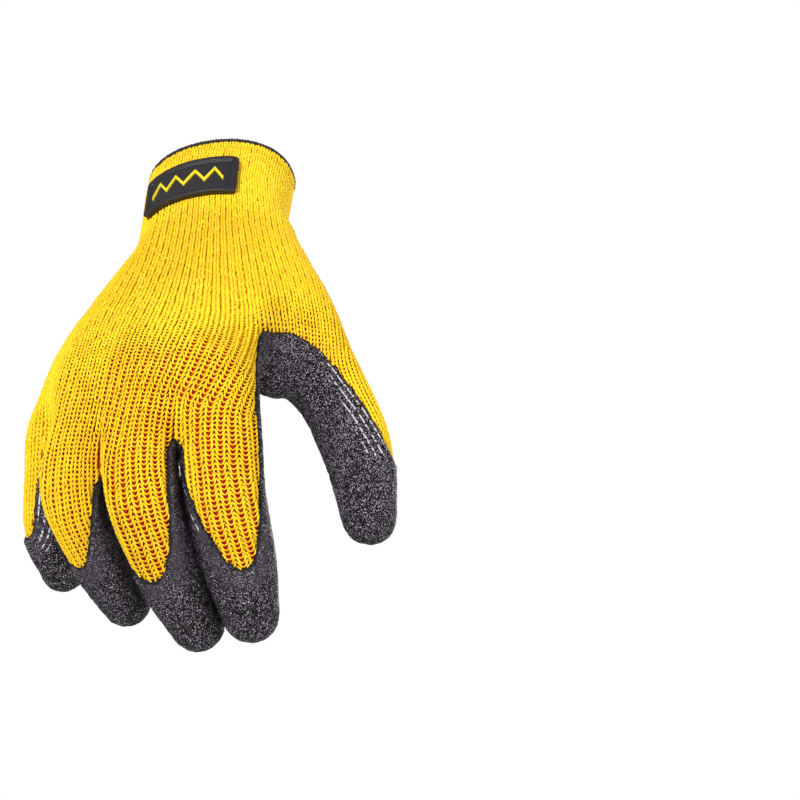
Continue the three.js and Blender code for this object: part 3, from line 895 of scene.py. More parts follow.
class Knit:
    """Two coordinates over the bare skin, wales across and courses along, with a stitch where they cross."""

    def __init__(self, skin):
        triangles = triangles_of(skin.quads)
        near = (skin.bare[triangles].max(1) > KNIT["margin"]) & (skin.points[triangles, 2].min(1) < 4)
        used, remap = np.unique(triangles[near], return_inverse=True)
        self.used = used
        self.triangles = remap.reshape(-1, 3)
        self.points = skin.points[used]
        self.normals = skin.normals[used]
        self.bare = skin.bare[used]
        self.openness = skin.openness[used]
        self.shares = {name: share[used] for name, share in skin.shares.items()}
        self.directions = self.run_directions(skin)
        self.solve()

    def run_directions(self, skin):
        """The way the wales run towards the fingertips, along the skin."""
        shares = skin.form_shares(self.points, 5.0)
        total = 0.0
        for name, form in skin.forms.items():
            total = total + shares[name][:, None] * form.local(self.points)["along"]
        keep = -np.ones(len(skin.points), int)
        keep[self.used] = np.arange(len(self.used))
        pairs = keep[skin.pairs]
        pairs = pairs[(pairs >= 0).all(1)]
        for _ in range(3):
            total = unit(total - self.normals * (total * self.normals).sum(1)[:, None])
            total = relaxed(total, pairs, 6)
        return unit(total - self.normals * (total * self.normals).sum(1)[:, None])

    def solve(self):
        """Solves for the two coordinates, u across in wales and v along in courses."""
        triangles, points, size = self.triangles, self.points, len(self.points)
        gradient, area = slopes(points, triangles)
        along = unit(self.directions[triangles].mean(1))
        across = unit(np.cross(along, unit(self.normals[triangles].mean(1))))
        by_along = (gradient * along[:, None]).sum(2)
        by_across = (gradient * across[:, None]).sum(2)
        aside = points[:, 0] - COAT_TOP["middle_x"]
        palm = (points[triangles, 1].mean(1) > 0) & (points[triangles, 2].mean(1) > KNIT["palm_seam_end"])
        crossing = palm & ((aside[triangles] > 0).any(1)) & ((aside[triangles] <= 0).any(1))
        self.jump = np.where(crossing[:, None] & (aside[triangles] > 0), KNIT["round_cuff"], 0.0)
        index = np.concatenate([triangles, triangles])
        turn = np.arctan2(aside, points[:, 1]) % (2 * math.pi)
        middles, normals = points[triangles].mean(1), unit(self.normals[triangles].mean(1))
        width = sum(share[triangles].mean(1) * WALE_WIDTH[name] for name, share in self.shares.items())
        trust, flow_along, flow_across = self.flow(middles, along, across, normals)
        plain = (1 - trust) / width

        def field(along_pull, across_pull, along_target, across_target, jump, start):
            weight = np.concatenate([
                by_along * np.sqrt(area * along_pull)[:, None],
                by_across * np.sqrt(area * across_pull)[:, None],
            ])
            target = np.concatenate([
                np.sqrt(area * along_pull) * along_target,
                np.sqrt(area * across_pull) * across_target,
            ])
            target = target - (weight * np.concatenate([jump, jump])).sum(1)
            return solved(index, weight, target, size, start, KNIT["rounds"])

        start = KNIT["round_cuff"] * turn / (2 * math.pi)
        pull = KNIT["spacing_pull"] + (KNIT["flow_pull"] - KNIT["spacing_pull"]) * trust
        self.u = field(1.0, pull, trust * flow_along, trust * flow_across + plain, self.jump, start)
        level = -points[:, 2] / KNIT["course"]
        self.v = field(1.0, KNIT["level_pull"], 1 / KNIT["course"], 0.0, 0 * self.jump, level)
        self.gradient = gradient

    def flow(self, points, along, across, normals):
        """How far the seen flow is trusted at each point, and its wales a mm along both directions."""
        facing = facing_camera(points, normals)
        pixels, _ = seen(points)
        table = np.array(FLOW, float)
        near = np.exp(-((pixels[:, None] - table[:, :2]) ** 2).sum(2) / (2 * FLOW_REACH**2))
        lean = np.radians(table[:, 2])
        slopes_seen = -np.stack([np.cos(lean), np.sin(lean)], 1) / (2 * table[:, 3:4])
        total = near.sum(1)
        slope = (near @ slopes_seen) / np.maximum(total, 1e-6)[:, None]
        trust = smooth_step(0.1, 0.6, total) * smooth_step(0.15, 0.45, facing)
        rates = []
        for direction in (along, across):
            shift = seen(points + direction * 0.5)[0] - seen(points - direction * 0.5)[0]
            rates.append((slope * shift).sum(1))
        return trust, rates[0], rates[1]

    def stitches(self):
        """Where each stitch sits and how it is turned and sized, one row a stitch."""
        # The jump keeps the seam out of each triangle
        corner_u, corner_v = self.u[self.triangles] + self.jump, self.v[self.triangles]
        corners = np.stack([corner_u - 0.5, corner_v], 2)
        low = np.floor(corners.min(1)).astype(int)
        span = np.ceil(corners.max(1)).astype(int) - low
        e1, e2 = corners[:, 1] - corners[:, 0], corners[:, 2] - corners[:, 0]
        double = e1[:, 0] * e2[:, 1] - e1[:, 1] * e2[:, 0]
        found = []
        for i in range(int(span[:, 0].max()) + 1):
            for j in range(int(span[:, 1].max()) + 1):
                at = low + (i, j) - corners[:, 0]
                b = (at[:, 0] * e2[:, 1] - at[:, 1] * e2[:, 0]) / double
                c = (e1[:, 0] * at[:, 1] - e1[:, 1] * at[:, 0]) / double
                within = (b >= 0) & (c >= 0) & (b + c < 1)
                hit = np.flatnonzero(within & (i <= span[:, 0]) & (j <= span[:, 1]))
                found.append(np.stack([hit, b[hit], c[hit]], 1))
        found = np.concatenate(found)
        row = found[:, 0].astype(int)
        share = np.stack([1 - found[:, 1] - found[:, 2], found[:, 1], found[:, 2]], 1)[..., None]
        triangles = self.triangles[row]
        blend = lambda values: (values[triangles] * (share if values.ndim == 2 else share[..., 0])).sum(1)
        slope_u = (self.gradient[row] * corner_u[row][..., None]).sum(1)
        slope_v = (self.gradient[row] * corner_v[row][..., None]).sum(1)
        normal = unit(blend(self.normals))
        across = unit(slope_u - normal * (slope_u * normal).sum(1)[:, None])
        along = np.cross(normal, across)
        made = {
            "point": blend(self.points),
            "normal": normal,
            "along": along,
            "across": across,
            "wide": 1 / np.maximum(np.linalg.norm(slope_u, axis=1), 0.12),
            "high": 1 / np.maximum((slope_v * along).sum(1), 0.3),
            "bare": blend(self.bare),
            "openness": blend(self.openness),
        }
        # The last ones duck under the rubber's edge
        sunk = TUCK["depth"] * (1 - smooth_step(TUCK["sunk"], TUCK["starts"], made["bare"]))
        made["point"] = made["point"] - normal * sunk[:, None]
        return picked(made, (made["bare"] > TUCK["ends"]) & (made["point"][:, 2] < RIM - TUCK["below_rim"]))


# The walls, in mm from the outer skin: the ground behind the yarn, the liner's inside and the rubber's two
# faces. The rubber thins to rubber_edge over edge_roll.
WALLS = {
    "ground": -0.95,
    "inside": -2.1,
    "rubber_inside": -0.4,
    "rubber": 1.05,
    "rubber_edge": 0.3,
    "edge_roll": 1.3,
}
# Waves that make the rubber's edge ragged: the mm between their tops, their height in mm and their seed
TEETH = ((1.7, 0.65, 5), (3.1, 0.2, 6))
# Other waves of the rubber: the mm between their tops and their seed
WAVES = {"ridges": (1.7, 21), "bends": (2.3, 11), "swells": (6.0, 31), "patches": (5.0, 51)}
# The crinkle: ridges that a shift in mm bends, over slow swells, with each one's share of the height. A part
# of it is left at the edge and where the rubber has its lines of painted shine. shade is the ridges' share of
# the height that the rubber colour's painted shade and light follow.
CRINKLE = {"ridges": 0.55, "swells": 0.25, "bend": 0.7, "at_edge": 0.2, "in_shine": 0.2, "shade": 0.03}
# The smoother rubber on the backs of the fingers, painted a lighter grey as a sheen, in mm from its edge, in
# patches and only where the camera faces it, and the dark line of painted shade where the rubber ends
SMOOTH_PAINTED_SHEEN = {"full": 5.0, "gone": 10.0, "least": 0.55, "patchy": (-0.6, 0.2), "facing": (0.3, 0.65)}
# Over these mm from the rubber's edge its dark line of painted shade fades out
PAINTED_RIM_SHADE = (0.3, 1.0)

# Shades of the yarn, each a share of the way to the deep yellow: everywhere, in a puckered row below the
# rim, at the wrist, where the knit opens and on the fingers. The heights are mm below the rim.
SHADE = {"all": 0.16, "pucker": 0.5, "wrist": 0.34, "open": 0.06, "fingers": 0.28, "spread": 0.12}
PUCKER = {"below_rim": 5.5, "reach": 1.0}
WRIST = {"starts": (40.0, 55.0), "ends": (95.0, 125.0), "narrower": 0.04}
CUFF = {"ends": (30.0, 42.0), "wider": 0.04}
# How unevenly the yarn lies, in mm, where the knit is open, and how much more where it is closed
UNEVEN = {"open": 0.05, "closed": 0.06, "seed": 19}

# Moulded patch on the back of the cuff, in mm. angle and tilt are in degrees, row is the hand's row there,
# and sunk is how far its underside lies below its seat.
PATCH = {
    "row": 2,
    "angle": -95.0,
    "z": -29.0,
    "tilt": 3.6,
    "width": 36.0,
    "height": 23.5,
    "seat": 0.45,
    "sunk": -0.35,
    "thickness": 1.5,
    "edge_round": 0.45,
    "border": 2.3,
    "border_relief": 0.65,
    "border_middle": 1.2,
    "border_crown": 0.06,
    "groove": 0.5,
    "groove_depth": 0.25,
    "corner": 2.2,
    "sides": 176,
}
# How far in from its outline the patch's section is drawn, closer where it turns
PATCH_DEPTHS = np.concatenate([
    [0, 0.02, 0.1, 0.25, 0.45, 0.7],
    np.linspace(1.0, PATCH["border"] - 0.35, 4),
    PATCH["border"] + np.array([-0.2, 0.0, 0.12, 0.3, 0.5, 0.8]),
    np.linspace(4.0, PATCH["height"] / 2 - 0.15, 8),
])
ZIGZAG = {
    "length": 26.0,
    "rise": 7.0,
    "turns": 8,
    "leg_steps": 8,
    "ribbon": 2.4,
    "relief": 0.75,
    "shoulder": 0.25,
    "sunk": 0.1,
}
# The hem, in mm: half sizes of the bead up and outwards, of a loop of thread outwards and up, and of the
# thread in the loop's plane and across it. The loops lean by some degrees, and their sizes vary by spread.
HEM = {
    "row": 1,
    "z": -1.0,
    "bead": (0.87, 1.07),
    "bead_steps": 320,
    "bead_sides": 10,
    "loops": 156,
    "loop": (1.10, 0.94),
    "loop_steps": 12,
    "thread": (0.26, 0.39),
    "thread_sides": 5,
    "lean": 24.0,
    "spread": 0.06,
    "seed": 4,
}

# The floor's height and half its width in metres, and how much it glows to the camera
FLOOR = {"z": -0.75, "reach": 6.0, "glow": 0.45}
# What the lamps point at, and for each lamp how far it stands from there along the camera's right, up and
# back, and how wide it is, all in metres
LIT = np.array([0.0, -0.010, -0.110])
LAMPS = {
    "key": ((-0.4, 0.68, 0.85), 0.5),
    "side": ((0.95, 0.15, 0.35), 0.5),
    "under": ((0.1, -0.8, 0.5), 0.6),
    "palm": ((0.35, 0.1, -1.0), 0.8),
}
# The camera's sensor, in mm
SENSOR = 36.0

# sRGB colours
INK = {
    "yarn": "F4CA06",
    # The painted highlight on the yarn's tops
    "yarn_painted_highlight": "FFEC52",
    "yarn_deep": "D89404",
    # The painted shade on the yarn's sunken parts
    "yarn_painted_sunk_shade": "C06404",
    "ground": "F0B410",
    # The painted shade seen through the knit's holes: crimson, and warmer orange spots
    "gap": "A80C18",
    "gap_shade_warm": "B04408",
    "rubber": "252126",
    # Painted shade in the crinkle's pits and the clefts, painted light on its tops, and painted glints
    "rubber_painted_shade": "050405",
    "rubber_painted_top_light": "635C65",
    "rubber_painted_glint": "ECE4EE",
    # Painted sheen: a lighter grey on the smooth rubber of the fingers' backs
    "rubber_painted_sheen": "38343B",
    # Painted shade: the dark line along the rubber's edge
    "rubber_painted_rim_shade": "0E0D11",
    # Painted highlight: near white lines on the thin rubber beside its edge
    "rubber_painted_shine": "E6E4EC",
    "hem": "231312",
    "patch": "1A171C",
    "zigzag": "DCC814",
    "floor": "FBFBFB",
}
# Where the rubber lies thin over the knit's ribs and gets painted highlights in lines along its edge: the x
# and y of two ends and the reach, in pixels of the picture. It fades out over some shares of the reach, and
# the lines are in mm from the rubber's edge.
SHINE = (
    (334, 366, 352, 400, 9.0),
    (352, 400, 374, 450, 11.0),
    (41, 450, 46, 545, 6.0),
    (184, 450, 201, 525, 5.0),
)
SHINE_FADES = (0.6, 1.2)
SHINE_LINES = {"starts": (0.5, 1.2), "ends": (8.0, 10.0), "first": 1.9, "step": 2.1, "height": 0.15}

built = {}


def skin_and_knit():
    """The skin and its knit, worked out once."""
    if "skin" not in built:
        built["skin"] = Skin()
        built["knit"] = Knit(built["skin"])
    return built["skin"], built["knit"]


def in_scene(name, data):
    """A new object of that data, in the scene."""
    holder = bpy.data.objects.new(name, data)
    bpy.context.scene.collection.objects.link(holder)
    return holder


def new_piece(name, points, faces, attributes=None, smooth=True):
    """A mesh object from points in mm. attributes are values at the points."""
    mesh = bpy.data.meshes.new(name)
    mesh.vertices.add(len(points))
    mesh.vertices.foreach_set("co", (points * MM).astype(np.float32).ravel())
    faces = np.asarray(faces)
    if len(faces):
        sides = faces.shape[1]
        mesh.loops.add(faces.size)
        mesh.loops.foreach_set("vertex_index", faces.astype(np.int32).ravel())
        mesh.polygons.add(len(faces))
        mesh.polygons.foreach_set("loop_start", np.arange(0, faces.size, sides, dtype=np.int32))
        mesh.update(calc_edges=True)
        mesh.polygons.foreach_set("use_smooth", np.full(len(faces), smooth))
    for label, values in (attributes or {}).items():
        kind = "INT" if values.dtype.kind == "i" else ("FLOAT_VECTOR" if values.ndim == 2 else "FLOAT")
        layer = mesh.attributes.new(label, kind, "POINT")
        key = "vector" if kind == "FLOAT_VECTOR" else "value"
        flat = values.astype(np.int32 if kind == "INT" else np.float32).ravel()
        layer.data.foreach_set(key, flat)
    mesh.update()
    return in_scene(name, mesh)


def finish_piece(piece, nodes, material=None):
    """Hands a piece to the frame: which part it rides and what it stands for."""
    if material is not None:
        piece.data.materials.append(material)
    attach(piece, BODY)
    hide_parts(*nodes)


def bridged(outer, inner):
    """One closed mesh from an outer sheet and an inner one that faces the other way."""
    points, faces = joined(outer, inner)
    outer_loops = rim_loops(outer[1])
    inner_loops = [loop + len(outer[0]) for loop in rim_loops(inner[1])]
    centres = np.array([points[loop].mean(0) for loop in inner_loops])
    strips = [faces]
    for loop in outer_loops:
        nearest = int(((centres - points[loop].mean(0)) ** 2).sum(1).argmin())
        strips.append(zipped(points, loop, inner_loops[nearest]))
    return points, np.concatenate(strips)


def slab(points, triangles, extras, low, high):
    """The part of a mesh between two heights; either may be None."""
    for level, side in ((low, 1), (high, -1)):
        if level is not None:
            points, triangles, extras = cut_above(points, triangles, side * (points[:, 2] - level), extras)
    return points, triangles, extras


def wall_piece(name, skin, low, high):
    """A closed wall of the liner between two heights; either may be None."""
    extras = {"openness": skin.openness, "normal": skin.normals}
    points, triangles, extras = slab(skin.points, triangles_of(skin.quads), extras, low, high)
    outer = skin.field.settle(points + extras["normal"] * WALLS["ground"], WALLS["ground"])
    # The inner face is plain, so a coarser mesh does for it
    inner, inner_faces, _ = slab(*skin.coarse(), {}, low, high)
    inner = skin.field.settle(inner, WALLS["inside"])
    both, faces = bridged((outer, triangles), (inner, inner_faces[:, ::-1]))
    attributes = {
        "openness": np.concatenate([extras["openness"], np.zeros(len(inner))]),
        "inside": np.concatenate([np.zeros(len(outer)), np.ones(len(inner))]),
    }
    return new_piece(name, both, faces, attributes)


def shader_colour(text):
    """An sRGB hex colour as linear RGBA."""
    values = [int(text[i : i + 2], 16) / 255 for i in (0, 2, 4)]
    linear = [v / 12.92 if v <= 0.04045 else ((v + 0.055) / 1.055) ** 2.4 for v in values]
    return (*linear, 1.0)


def ink(name):
    """A named colour as linear RGBA."""
    return shader_colour(INK[name])


def feed(tree, node, values):
    """Gives a node's inputs their values, by a link where a value is another node's output."""
    for name, value in values.items():
        if isinstance(value, bpy.types.NodeSocket):
            tree.links.new(value, node.inputs[name])
        else:
            node.inputs[name].default_value = value


def add_node(tree, kind, values=None, **settings):
    """A new node with its settings and the values of its inputs."""
    node = tree.nodes.new(kind)
    for name, value in settings.items():
        setattr(node, name, value)
    feed(tree, node, values or {})
    return node


def new_material(name):
    """A material with a plain surface shader, its tree and that shader."""
    material = bpy.data.materials.new(name)
    material.use_nodes = True
    return material, material.node_tree, material.node_tree.nodes["Principled BSDF"]


def own_place(tree):
    """Where a point lies on its own object, in metres."""
    return add_node(tree, "ShaderNodeTexCoord").outputs["Object"]


def mesh_value(tree, name):
    """A value that the mesh holds at its points."""
    return add_node(tree, "ShaderNodeAttribute", attribute_name=name).outputs["Fac"]


def noise_at(tree, place, scale, detail=2.0, **more):
    """Noise from 0 to 1, with scale in features a metre."""
    values = {"Vector": place, "Scale": scale, "Detail": detail, **more}
    return add_node(tree, "ShaderNodeTexNoise", values).outputs[0]


def worked_out(tree, operation, a, b=0.0):
    """The result of a sum on one or two values."""
    return add_node(tree, "ShaderNodeMath", {0: a, 1: b}, operation=operation).outputs[0]


def remapped(tree, value, low, high, to_low=0.0, to_high=1.0, clamp=True):
    """A value moved from one range to another, and kept inside it unless told otherwise."""
    values = {0: value, 1: low, 2: high, 3: to_low, 4: to_high}
    return add_node(tree, "ShaderNodeMapRange", values, clamp=clamp).outputs[0]


def mix_colours(tree, factor, a, b):
    """The colour between two, as far as the factor says."""
    return add_node(tree, "ShaderNodeMix", {0: factor, 6: a, 7: b}, data_type="RGBA").outputs[2]


def inked(tree, below, name, value, *spans):
    """A colour mixed towards a named one, as far as a remapped value says."""
    return mix_colours(tree, remapped(tree, value, *spans), below, ink(name))


def bumped(tree, height, strength, distance, **more):
    """A normal tilted by a height, with distance in metres."""
    values = {"Height": height, "Strength": strength, "Distance": distance, **more}
    return add_node(tree, "ShaderNodeBump", values).outputs[0]


def yarn_material(settings):
    """Spun yarn, knitted on a seamless machine."""
    material, tree, shader = new_material("Spun cotton and polyester yarn, knitted")
    place = own_place(tree)
    tint, crown, openness = (mesh_value(tree, name) for name in ("tint", "crown", "openness"))
    # Slow change of shade over the glove, as dyed and handled yarn has
    plain = shader_colour(settings.yarn_colour)
    yarn = inked(tree, plain, "yarn_deep", noise_at(tree, place, 90.0), 0.35, 0.65, 0.0, 0.2)
    # Fine grain along the yarn gives its fibres a fluffy, broken light through its bump, and breaks the
    # painted highlight on the yarn's tops into flecks
    fibre = noise_at(tree, place, 2600.0, Roughness=0.6)
    # Painted highlight: the yarn's tops are mixed towards a pale yellow where the fibre grain is high
    highlight_on_tops = remapped(tree, crown, 0.55, 1.0, 0.1, 0.85)
    painted_highlight = worked_out(tree, "MULTIPLY", remapped(tree, fibre, 0.42, 0.66), highlight_on_tops)
    light = mix_colours(tree, painted_highlight, yarn, ink("yarn_painted_highlight"))
    warm = inked(tree, light, "yarn_deep", tint, 0.0, 1.0, 0.0, 0.6)
    # Painted shade: the yarn's sunken parts are painted a darker orange, for their shade and the orange light
    # that the layers round them throw on them, most where the knit is open
    low = remapped(tree, crown, 0.0, 0.75, 0.85, 0.0)
    sunk = worked_out(tree, "MULTIPLY", low, remapped(tree, openness, 0.0, 0.6, 0.3, 1.0))
    feed(tree, shader, {
        "Base Color": mix_colours(tree, sunk, warm, ink("yarn_painted_sunk_shade")),
        "Roughness": 0.8,
        "Specular IOR Level": 0.08,
        "Sheen Weight": 0.02,
        "Sheen Roughness": 0.5,
        "Normal": bumped(tree, fibre, 0.6, 0.0003),
    })
    return material


def ground_material(settings):
    """The knit's far side, seen through its holes."""
    material, tree, shader = new_material("Lining yarn behind the loops, knitted")
    place = own_place(tree)
    openness, inside = (mesh_value(tree, name) for name in ("openness", "inside"))
    # Painted shade where the knit opens: crimson with warmer spots, for the dark inside of the glove seen
    # through the holes and lit through the yellow yarn. Deep amber where it is closed, plain yellow on the
    # inside
    gap = inked(tree, ink("gap"), "gap_shade_warm", noise_at(tree, place, 520.0, 1.0), 0.48, 0.66)
    outer = mix_colours(tree, remapped(tree, openness, 0.1, 0.6), ink("ground"), gap)
    feed(tree, shader, {
        "Base Color": mix_colours(tree, inside, outer, shader_colour(settings.yarn_colour)),
        "Roughness": 0.9,
        "Specular IOR Level": 0.1,
        "Normal": bumped(tree, noise_at(tree, place, 900.0), 0.5, 0.0004),
    })
    return material


def rubber_material():
    """Latex dipped and crinkled in a solvent bath, then cured."""
    material, tree, shader = new_material("Dipped natural latex, crinkle finish")
    place = own_place(tree)
    names = ("depth", "zone", "ridge", "satin", "rim")
    depth, zone, ridge, satin, rim = (mesh_value(tree, name) for name in names)
    # The crinkle: worm-like ridges less than a millimetre apart, and pebbles of one size that keep them even
    worms = noise_at(tree, place, 2800.0, 0.5, Distortion=0.5)
    pebbles = add_node(tree, "ShaderNodeTexVoronoi", {"Vector": place, "Scale": 1750.0}, feature="F1")
    round_tops = remapped(tree, pebbles.outputs["Distance"], 0.0, 1.0, 0.40, -0.05, clamp=False)
    raised = worked_out(tree, "ADD", worked_out(tree, "MULTIPLY", worms, 0.65), round_tops)
    height = worked_out(tree, "ADD", raised, ridge)
    # Painted shade nearly black in the pits, painted light on the tops, and painted glints on the highest
    # ridges
    base = inked(tree, ink("rubber_painted_shade"), "rubber", height, 0.41, 0.54)
    top = inked(tree, base, "rubber_painted_top_light", height, 0.50, 0.62, 0.0, 0.85)
    with_painted_glints = inked(tree, top, "rubber_painted_glint", height, 0.61, 0.72, 0.0, 0.9)
    # Painted highlights: broken near white lines where the dip lies thin over the knit's ribs, beside its
    # edge; it is glossier there too
    first, step = SHINE_LINES["first"], SHINE_LINES["step"]
    turn = remapped(tree, depth, first, first + step, 0.0, 2 * math.pi, clamp=False)
    wave = worked_out(tree, "COSINE", turn)
    dashes = remapped(tree, noise_at(tree, place, 900.0, 0.0), 0.40, 0.52)
    line = worked_out(tree, "MULTIPLY", remapped(tree, wave, 0.55, 0.95), dashes)
    gloss_and_painted_shine = worked_out(tree, "MULTIPLY", line, zone)
    # Thin, smooth rubber on the backs of the fingers, with a painted sheen of lighter grey, and a dark line
    # of painted shade where the dip ends
    with_painted_sheen = inked(tree, with_painted_glints, "rubber_painted_sheen", satin, 0.0, 1.0, 0.0, 0.75)
    with_painted_rim_shade = inked(tree, with_painted_sheen, "rubber_painted_rim_shade", rim, 0.0, 1.0, 0.0, 0.9)
    shine = inked(tree, with_painted_rim_shade, "rubber_painted_shine", gloss_and_painted_shine, 0.1, 0.7, 0.0, 0.9)
    # Painted shade: the colour darkens to the pits' black in the clefts between the fingers, where hardly any
    # light comes back out
    cleft_shade = add_node(tree, "ShaderNodeAmbientOcclusion", {"Distance": 0.014}, samples=6).outputs["AO"]
    calm = worked_out(tree, "MAXIMUM", satin, rim)
    crinkled = bumped(tree, worms, remapped(tree, calm, 0.0, 1.0, 1.0, 0.25), 0.0012)
    feed(tree, shader, {
        "Base Color": inked(tree, shine, "rubber_painted_shade", cleft_shade, 0.25, 0.85, 0.95, 0.0),
        "Roughness": remapped(tree, gloss_and_painted_shine, 0.0, 1.0, 0.5, 0.2),
        "Specular IOR Level": 0.12,
        "Normal": bumped(tree, noise_at(tree, place, 2600.0, 1.0), 0.3, 0.0002, Normal=crinkled),
    })
    return material


def plain_material(name, colour, roughness, grain_scale, grain_depth):
    """A one-colour material with a fine grain."""
    material, tree, shader = new_material(name)
    grain = noise_at(tree, own_place(tree), grain_scale)
    feed(tree, shader, {
        "Base Color": ink(colour),
        "Roughness": roughness,
        "Normal": bumped(tree, grain, 0.5, grain_depth),
    })
    return material


# Half a stitch from its outer end to its apex, in mm in a cell as wide as KNIT's wale and as high as its
# course: x, y, z, half width and half height of the yarn. An open stitch bends round the holes beside it, a
# closed one lies in a cord.
OPEN_HALF = (
    (2.16, -1.32, -0.50, 0.36, 0.28),
    (1.56, -1.00, -0.38, 0.38, 0.33),
    (1.24, -0.22, -0.27, 0.45, 0.41),
    (0.97, 0.58, -0.34, 0.42, 0.34),
    (0.00, 1.00, -0.58, 0.31, 0.25),
)
CLOSED_HALF = (
    (1.64, -1.50, -0.68, 0.45, 0.30),
    (1.30, -0.80, -0.40, 0.85, 0.44),
    (1.00, 0.10, -0.31, 0.97, 0.48),
    (0.74, 0.95, -0.42, 0.80, 0.42),
    (0.00, 1.34, -0.52, 0.55, 0.34),
)
YARN_SIDES = 5
# How many stitches between closed and open are drawn
VARIANTS = 5
# The least and the most that a stitch is stretched across, along and outwards, and how much the stitches vary
STRETCH = {"least": (0.4, 0.7, 0.5), "most": (2.2, 1.6, 1.5), "spread": 0.05}
# The yarn counts as sunken below the first height and as on top above the second, in mm from its cell. Its
# painted shade and painted highlight follow these.
CROWN = (-0.75, -0.05)


def stitch_shape(openness):
    """Points in mm and faces of one stitch: a bent yarn, its apex towards the fingertips."""
    half = np.array(CLOSED_HALF) * (1 - openness) + np.array(OPEN_HALF) * openness
    mirrored = half[-2::-1] * (-1, 1, 1, 1, 1)
    rows = np.concatenate([half, mirrored])
    along = unit(np.gradient(rows[:, :3], axis=0))
    across = unit(np.cross(along, (0, 0, 1.0)))
    points, faces = [], []
    for row, side in zip(rows, across):
        for k in range(YARN_SIDES):
            turn = 2 * math.pi * (k + 0.25) / YARN_SIDES
            up = np.array((0, 0, row[4] * math.sin(turn)))
            points.append(row[:3] + side * row[3] * math.cos(turn) + up)
    for ring in range(len(rows) - 1):
        for k in range(YARN_SIDES):
            a = ring * YARN_SIDES + k
            b = ring * YARN_SIDES + (k + 1) % YARN_SIDES
            faces.append((a, a + YARN_SIDES, b + YARN_SIDES, b))
    faces.append(tuple(range(YARN_SIDES)))
    last = (len(rows) - 1) * YARN_SIDES
    faces.append(tuple(last + k for k in reversed(range(YARN_SIDES))))
    return np.array(points), faces


def pattern_object(name, points, faces):
    """An object that Geometry Nodes repeats, in metres, facing outwards."""
    mesh = bpy.data.meshes.new(name)
    mesh.from_pydata([tuple(p) for p in points * MM], [], faces)
    fans = [(face[0], face[k], face[k + 1]) for face in faces for k in range(1, len(face) - 1)]
    a, b, c = points[np.array(fans).T]
    if (a * np.cross(b, c)).sum() < 0:
        mesh.flip_normals()
    for polygon in mesh.polygons:
        polygon.use_smooth = True
    crown = mesh.attributes.new("crown", "FLOAT", "POINT")
    crown.data.foreach_set("value", smooth_step(*CROWN, points[:, 2]).astype(np.float32))
    return bpy.data.objects.new(name, mesh)


def repeat_tree(name, material):
    """A node tree that sets one of a collection's shapes at each point, turned and sized by its values."""
    tree = bpy.data.node_groups.new(name, "GeometryNodeTree")
    interface = tree.interface
    interface.new_socket("Points", in_out="INPUT", socket_type="NodeSocketGeometry")
    shapes = interface.new_socket("Shapes", in_out="INPUT", socket_type="NodeSocketCollection")
    swell = interface.new_socket("Swell", in_out="INPUT", socket_type="NodeSocketFloat")
    swell.default_value = 1.0
    interface.new_socket("Geometry", in_out="OUTPUT", socket_type="NodeSocketGeometry")
    given = add_node(tree, "NodeGroupInput")
    info = add_node(tree, "GeometryNodeCollectionInfo", {
        "Collection": given.outputs["Shapes"],
        "Separate Children": True,
        "Reset Children": True,
    })

    def read(label, kind):
        values = {"Name": label}
        return add_node(tree, "GeometryNodeInputNamedAttribute", values, data_type=kind).outputs["Attribute"]

    sizes = {"Vector": read("size", "FLOAT_VECTOR"), "Scale": given.outputs["Swell"]}
    size = add_node(tree, "ShaderNodeVectorMath", sizes, operation="SCALE")
    turn = add_node(tree, "FunctionNodeEulerToRotation", {"Euler": read("turn", "FLOAT_VECTOR")})
    placed = add_node(tree, "GeometryNodeInstanceOnPoints", {
        "Points": given.outputs["Points"],
        "Instance": info.outputs["Instances"],
        "Pick Instance": True,
        "Instance Index": read("variant", "INT"),
        "Rotation": turn.outputs["Rotation"],
        "Scale": size.outputs["Vector"],
    })
    real = add_node(tree, "GeometryNodeRealizeInstances", {"Geometry": placed.outputs["Instances"]})
    values = {"Geometry": real.outputs["Geometry"], "Material": material}
    coated = add_node(tree, "GeometryNodeSetMaterial", values)
    add_node(tree, "NodeGroupOutput", {"Geometry": coated.outputs["Geometry"]})
    return tree, shapes.identifier, swell.identifier


def repeated(name, points, attributes, patterns, material, swell=1.0):
    """A plain mesh object of the patterns set at the points."""
    piece = new_piece(name, points, np.zeros((0, 3), int), attributes)
    shapes = bpy.data.collections.new(name + "_shapes")
    for pattern in patterns:
        shapes.objects.link(pattern)
    tree, shapes_socket, swell_socket = repeat_tree(name + "_tree", material)
    modifier = piece.modifiers.new("Repeat", "NODES")
    modifier.node_group = tree
    modifier[shapes_socket] = shapes
    modifier[swell_socket] = swell
    bpy.context.view_layer.update()
    graph = bpy.context.evaluated_depsgraph_get()
    mesh = bpy.data.meshes.new_from_object(piece.evaluated_get(graph))
    piece.modifiers.clear()
    old = piece.data
    piece.data = mesh
    bpy.data.meshes.remove(old)
    for pattern in patterns:
        bpy.data.objects.remove(pattern)
    bpy.data.collections.remove(shapes)
    return piece


def euler_angles(x_axis, y_axis, z_axis):
    """XYZ Euler angles of the turns with those axes, one row each."""
    ry = -np.arcsin(np.clip(x_axis[:, 2], -1, 1))
    rx = np.arctan2(y_axis[:, 2], z_axis[:, 2])
    rz = np.arctan2(x_axis[:, 1], x_axis[:, 0])
    return np.stack([rx, ry, rz], 1)


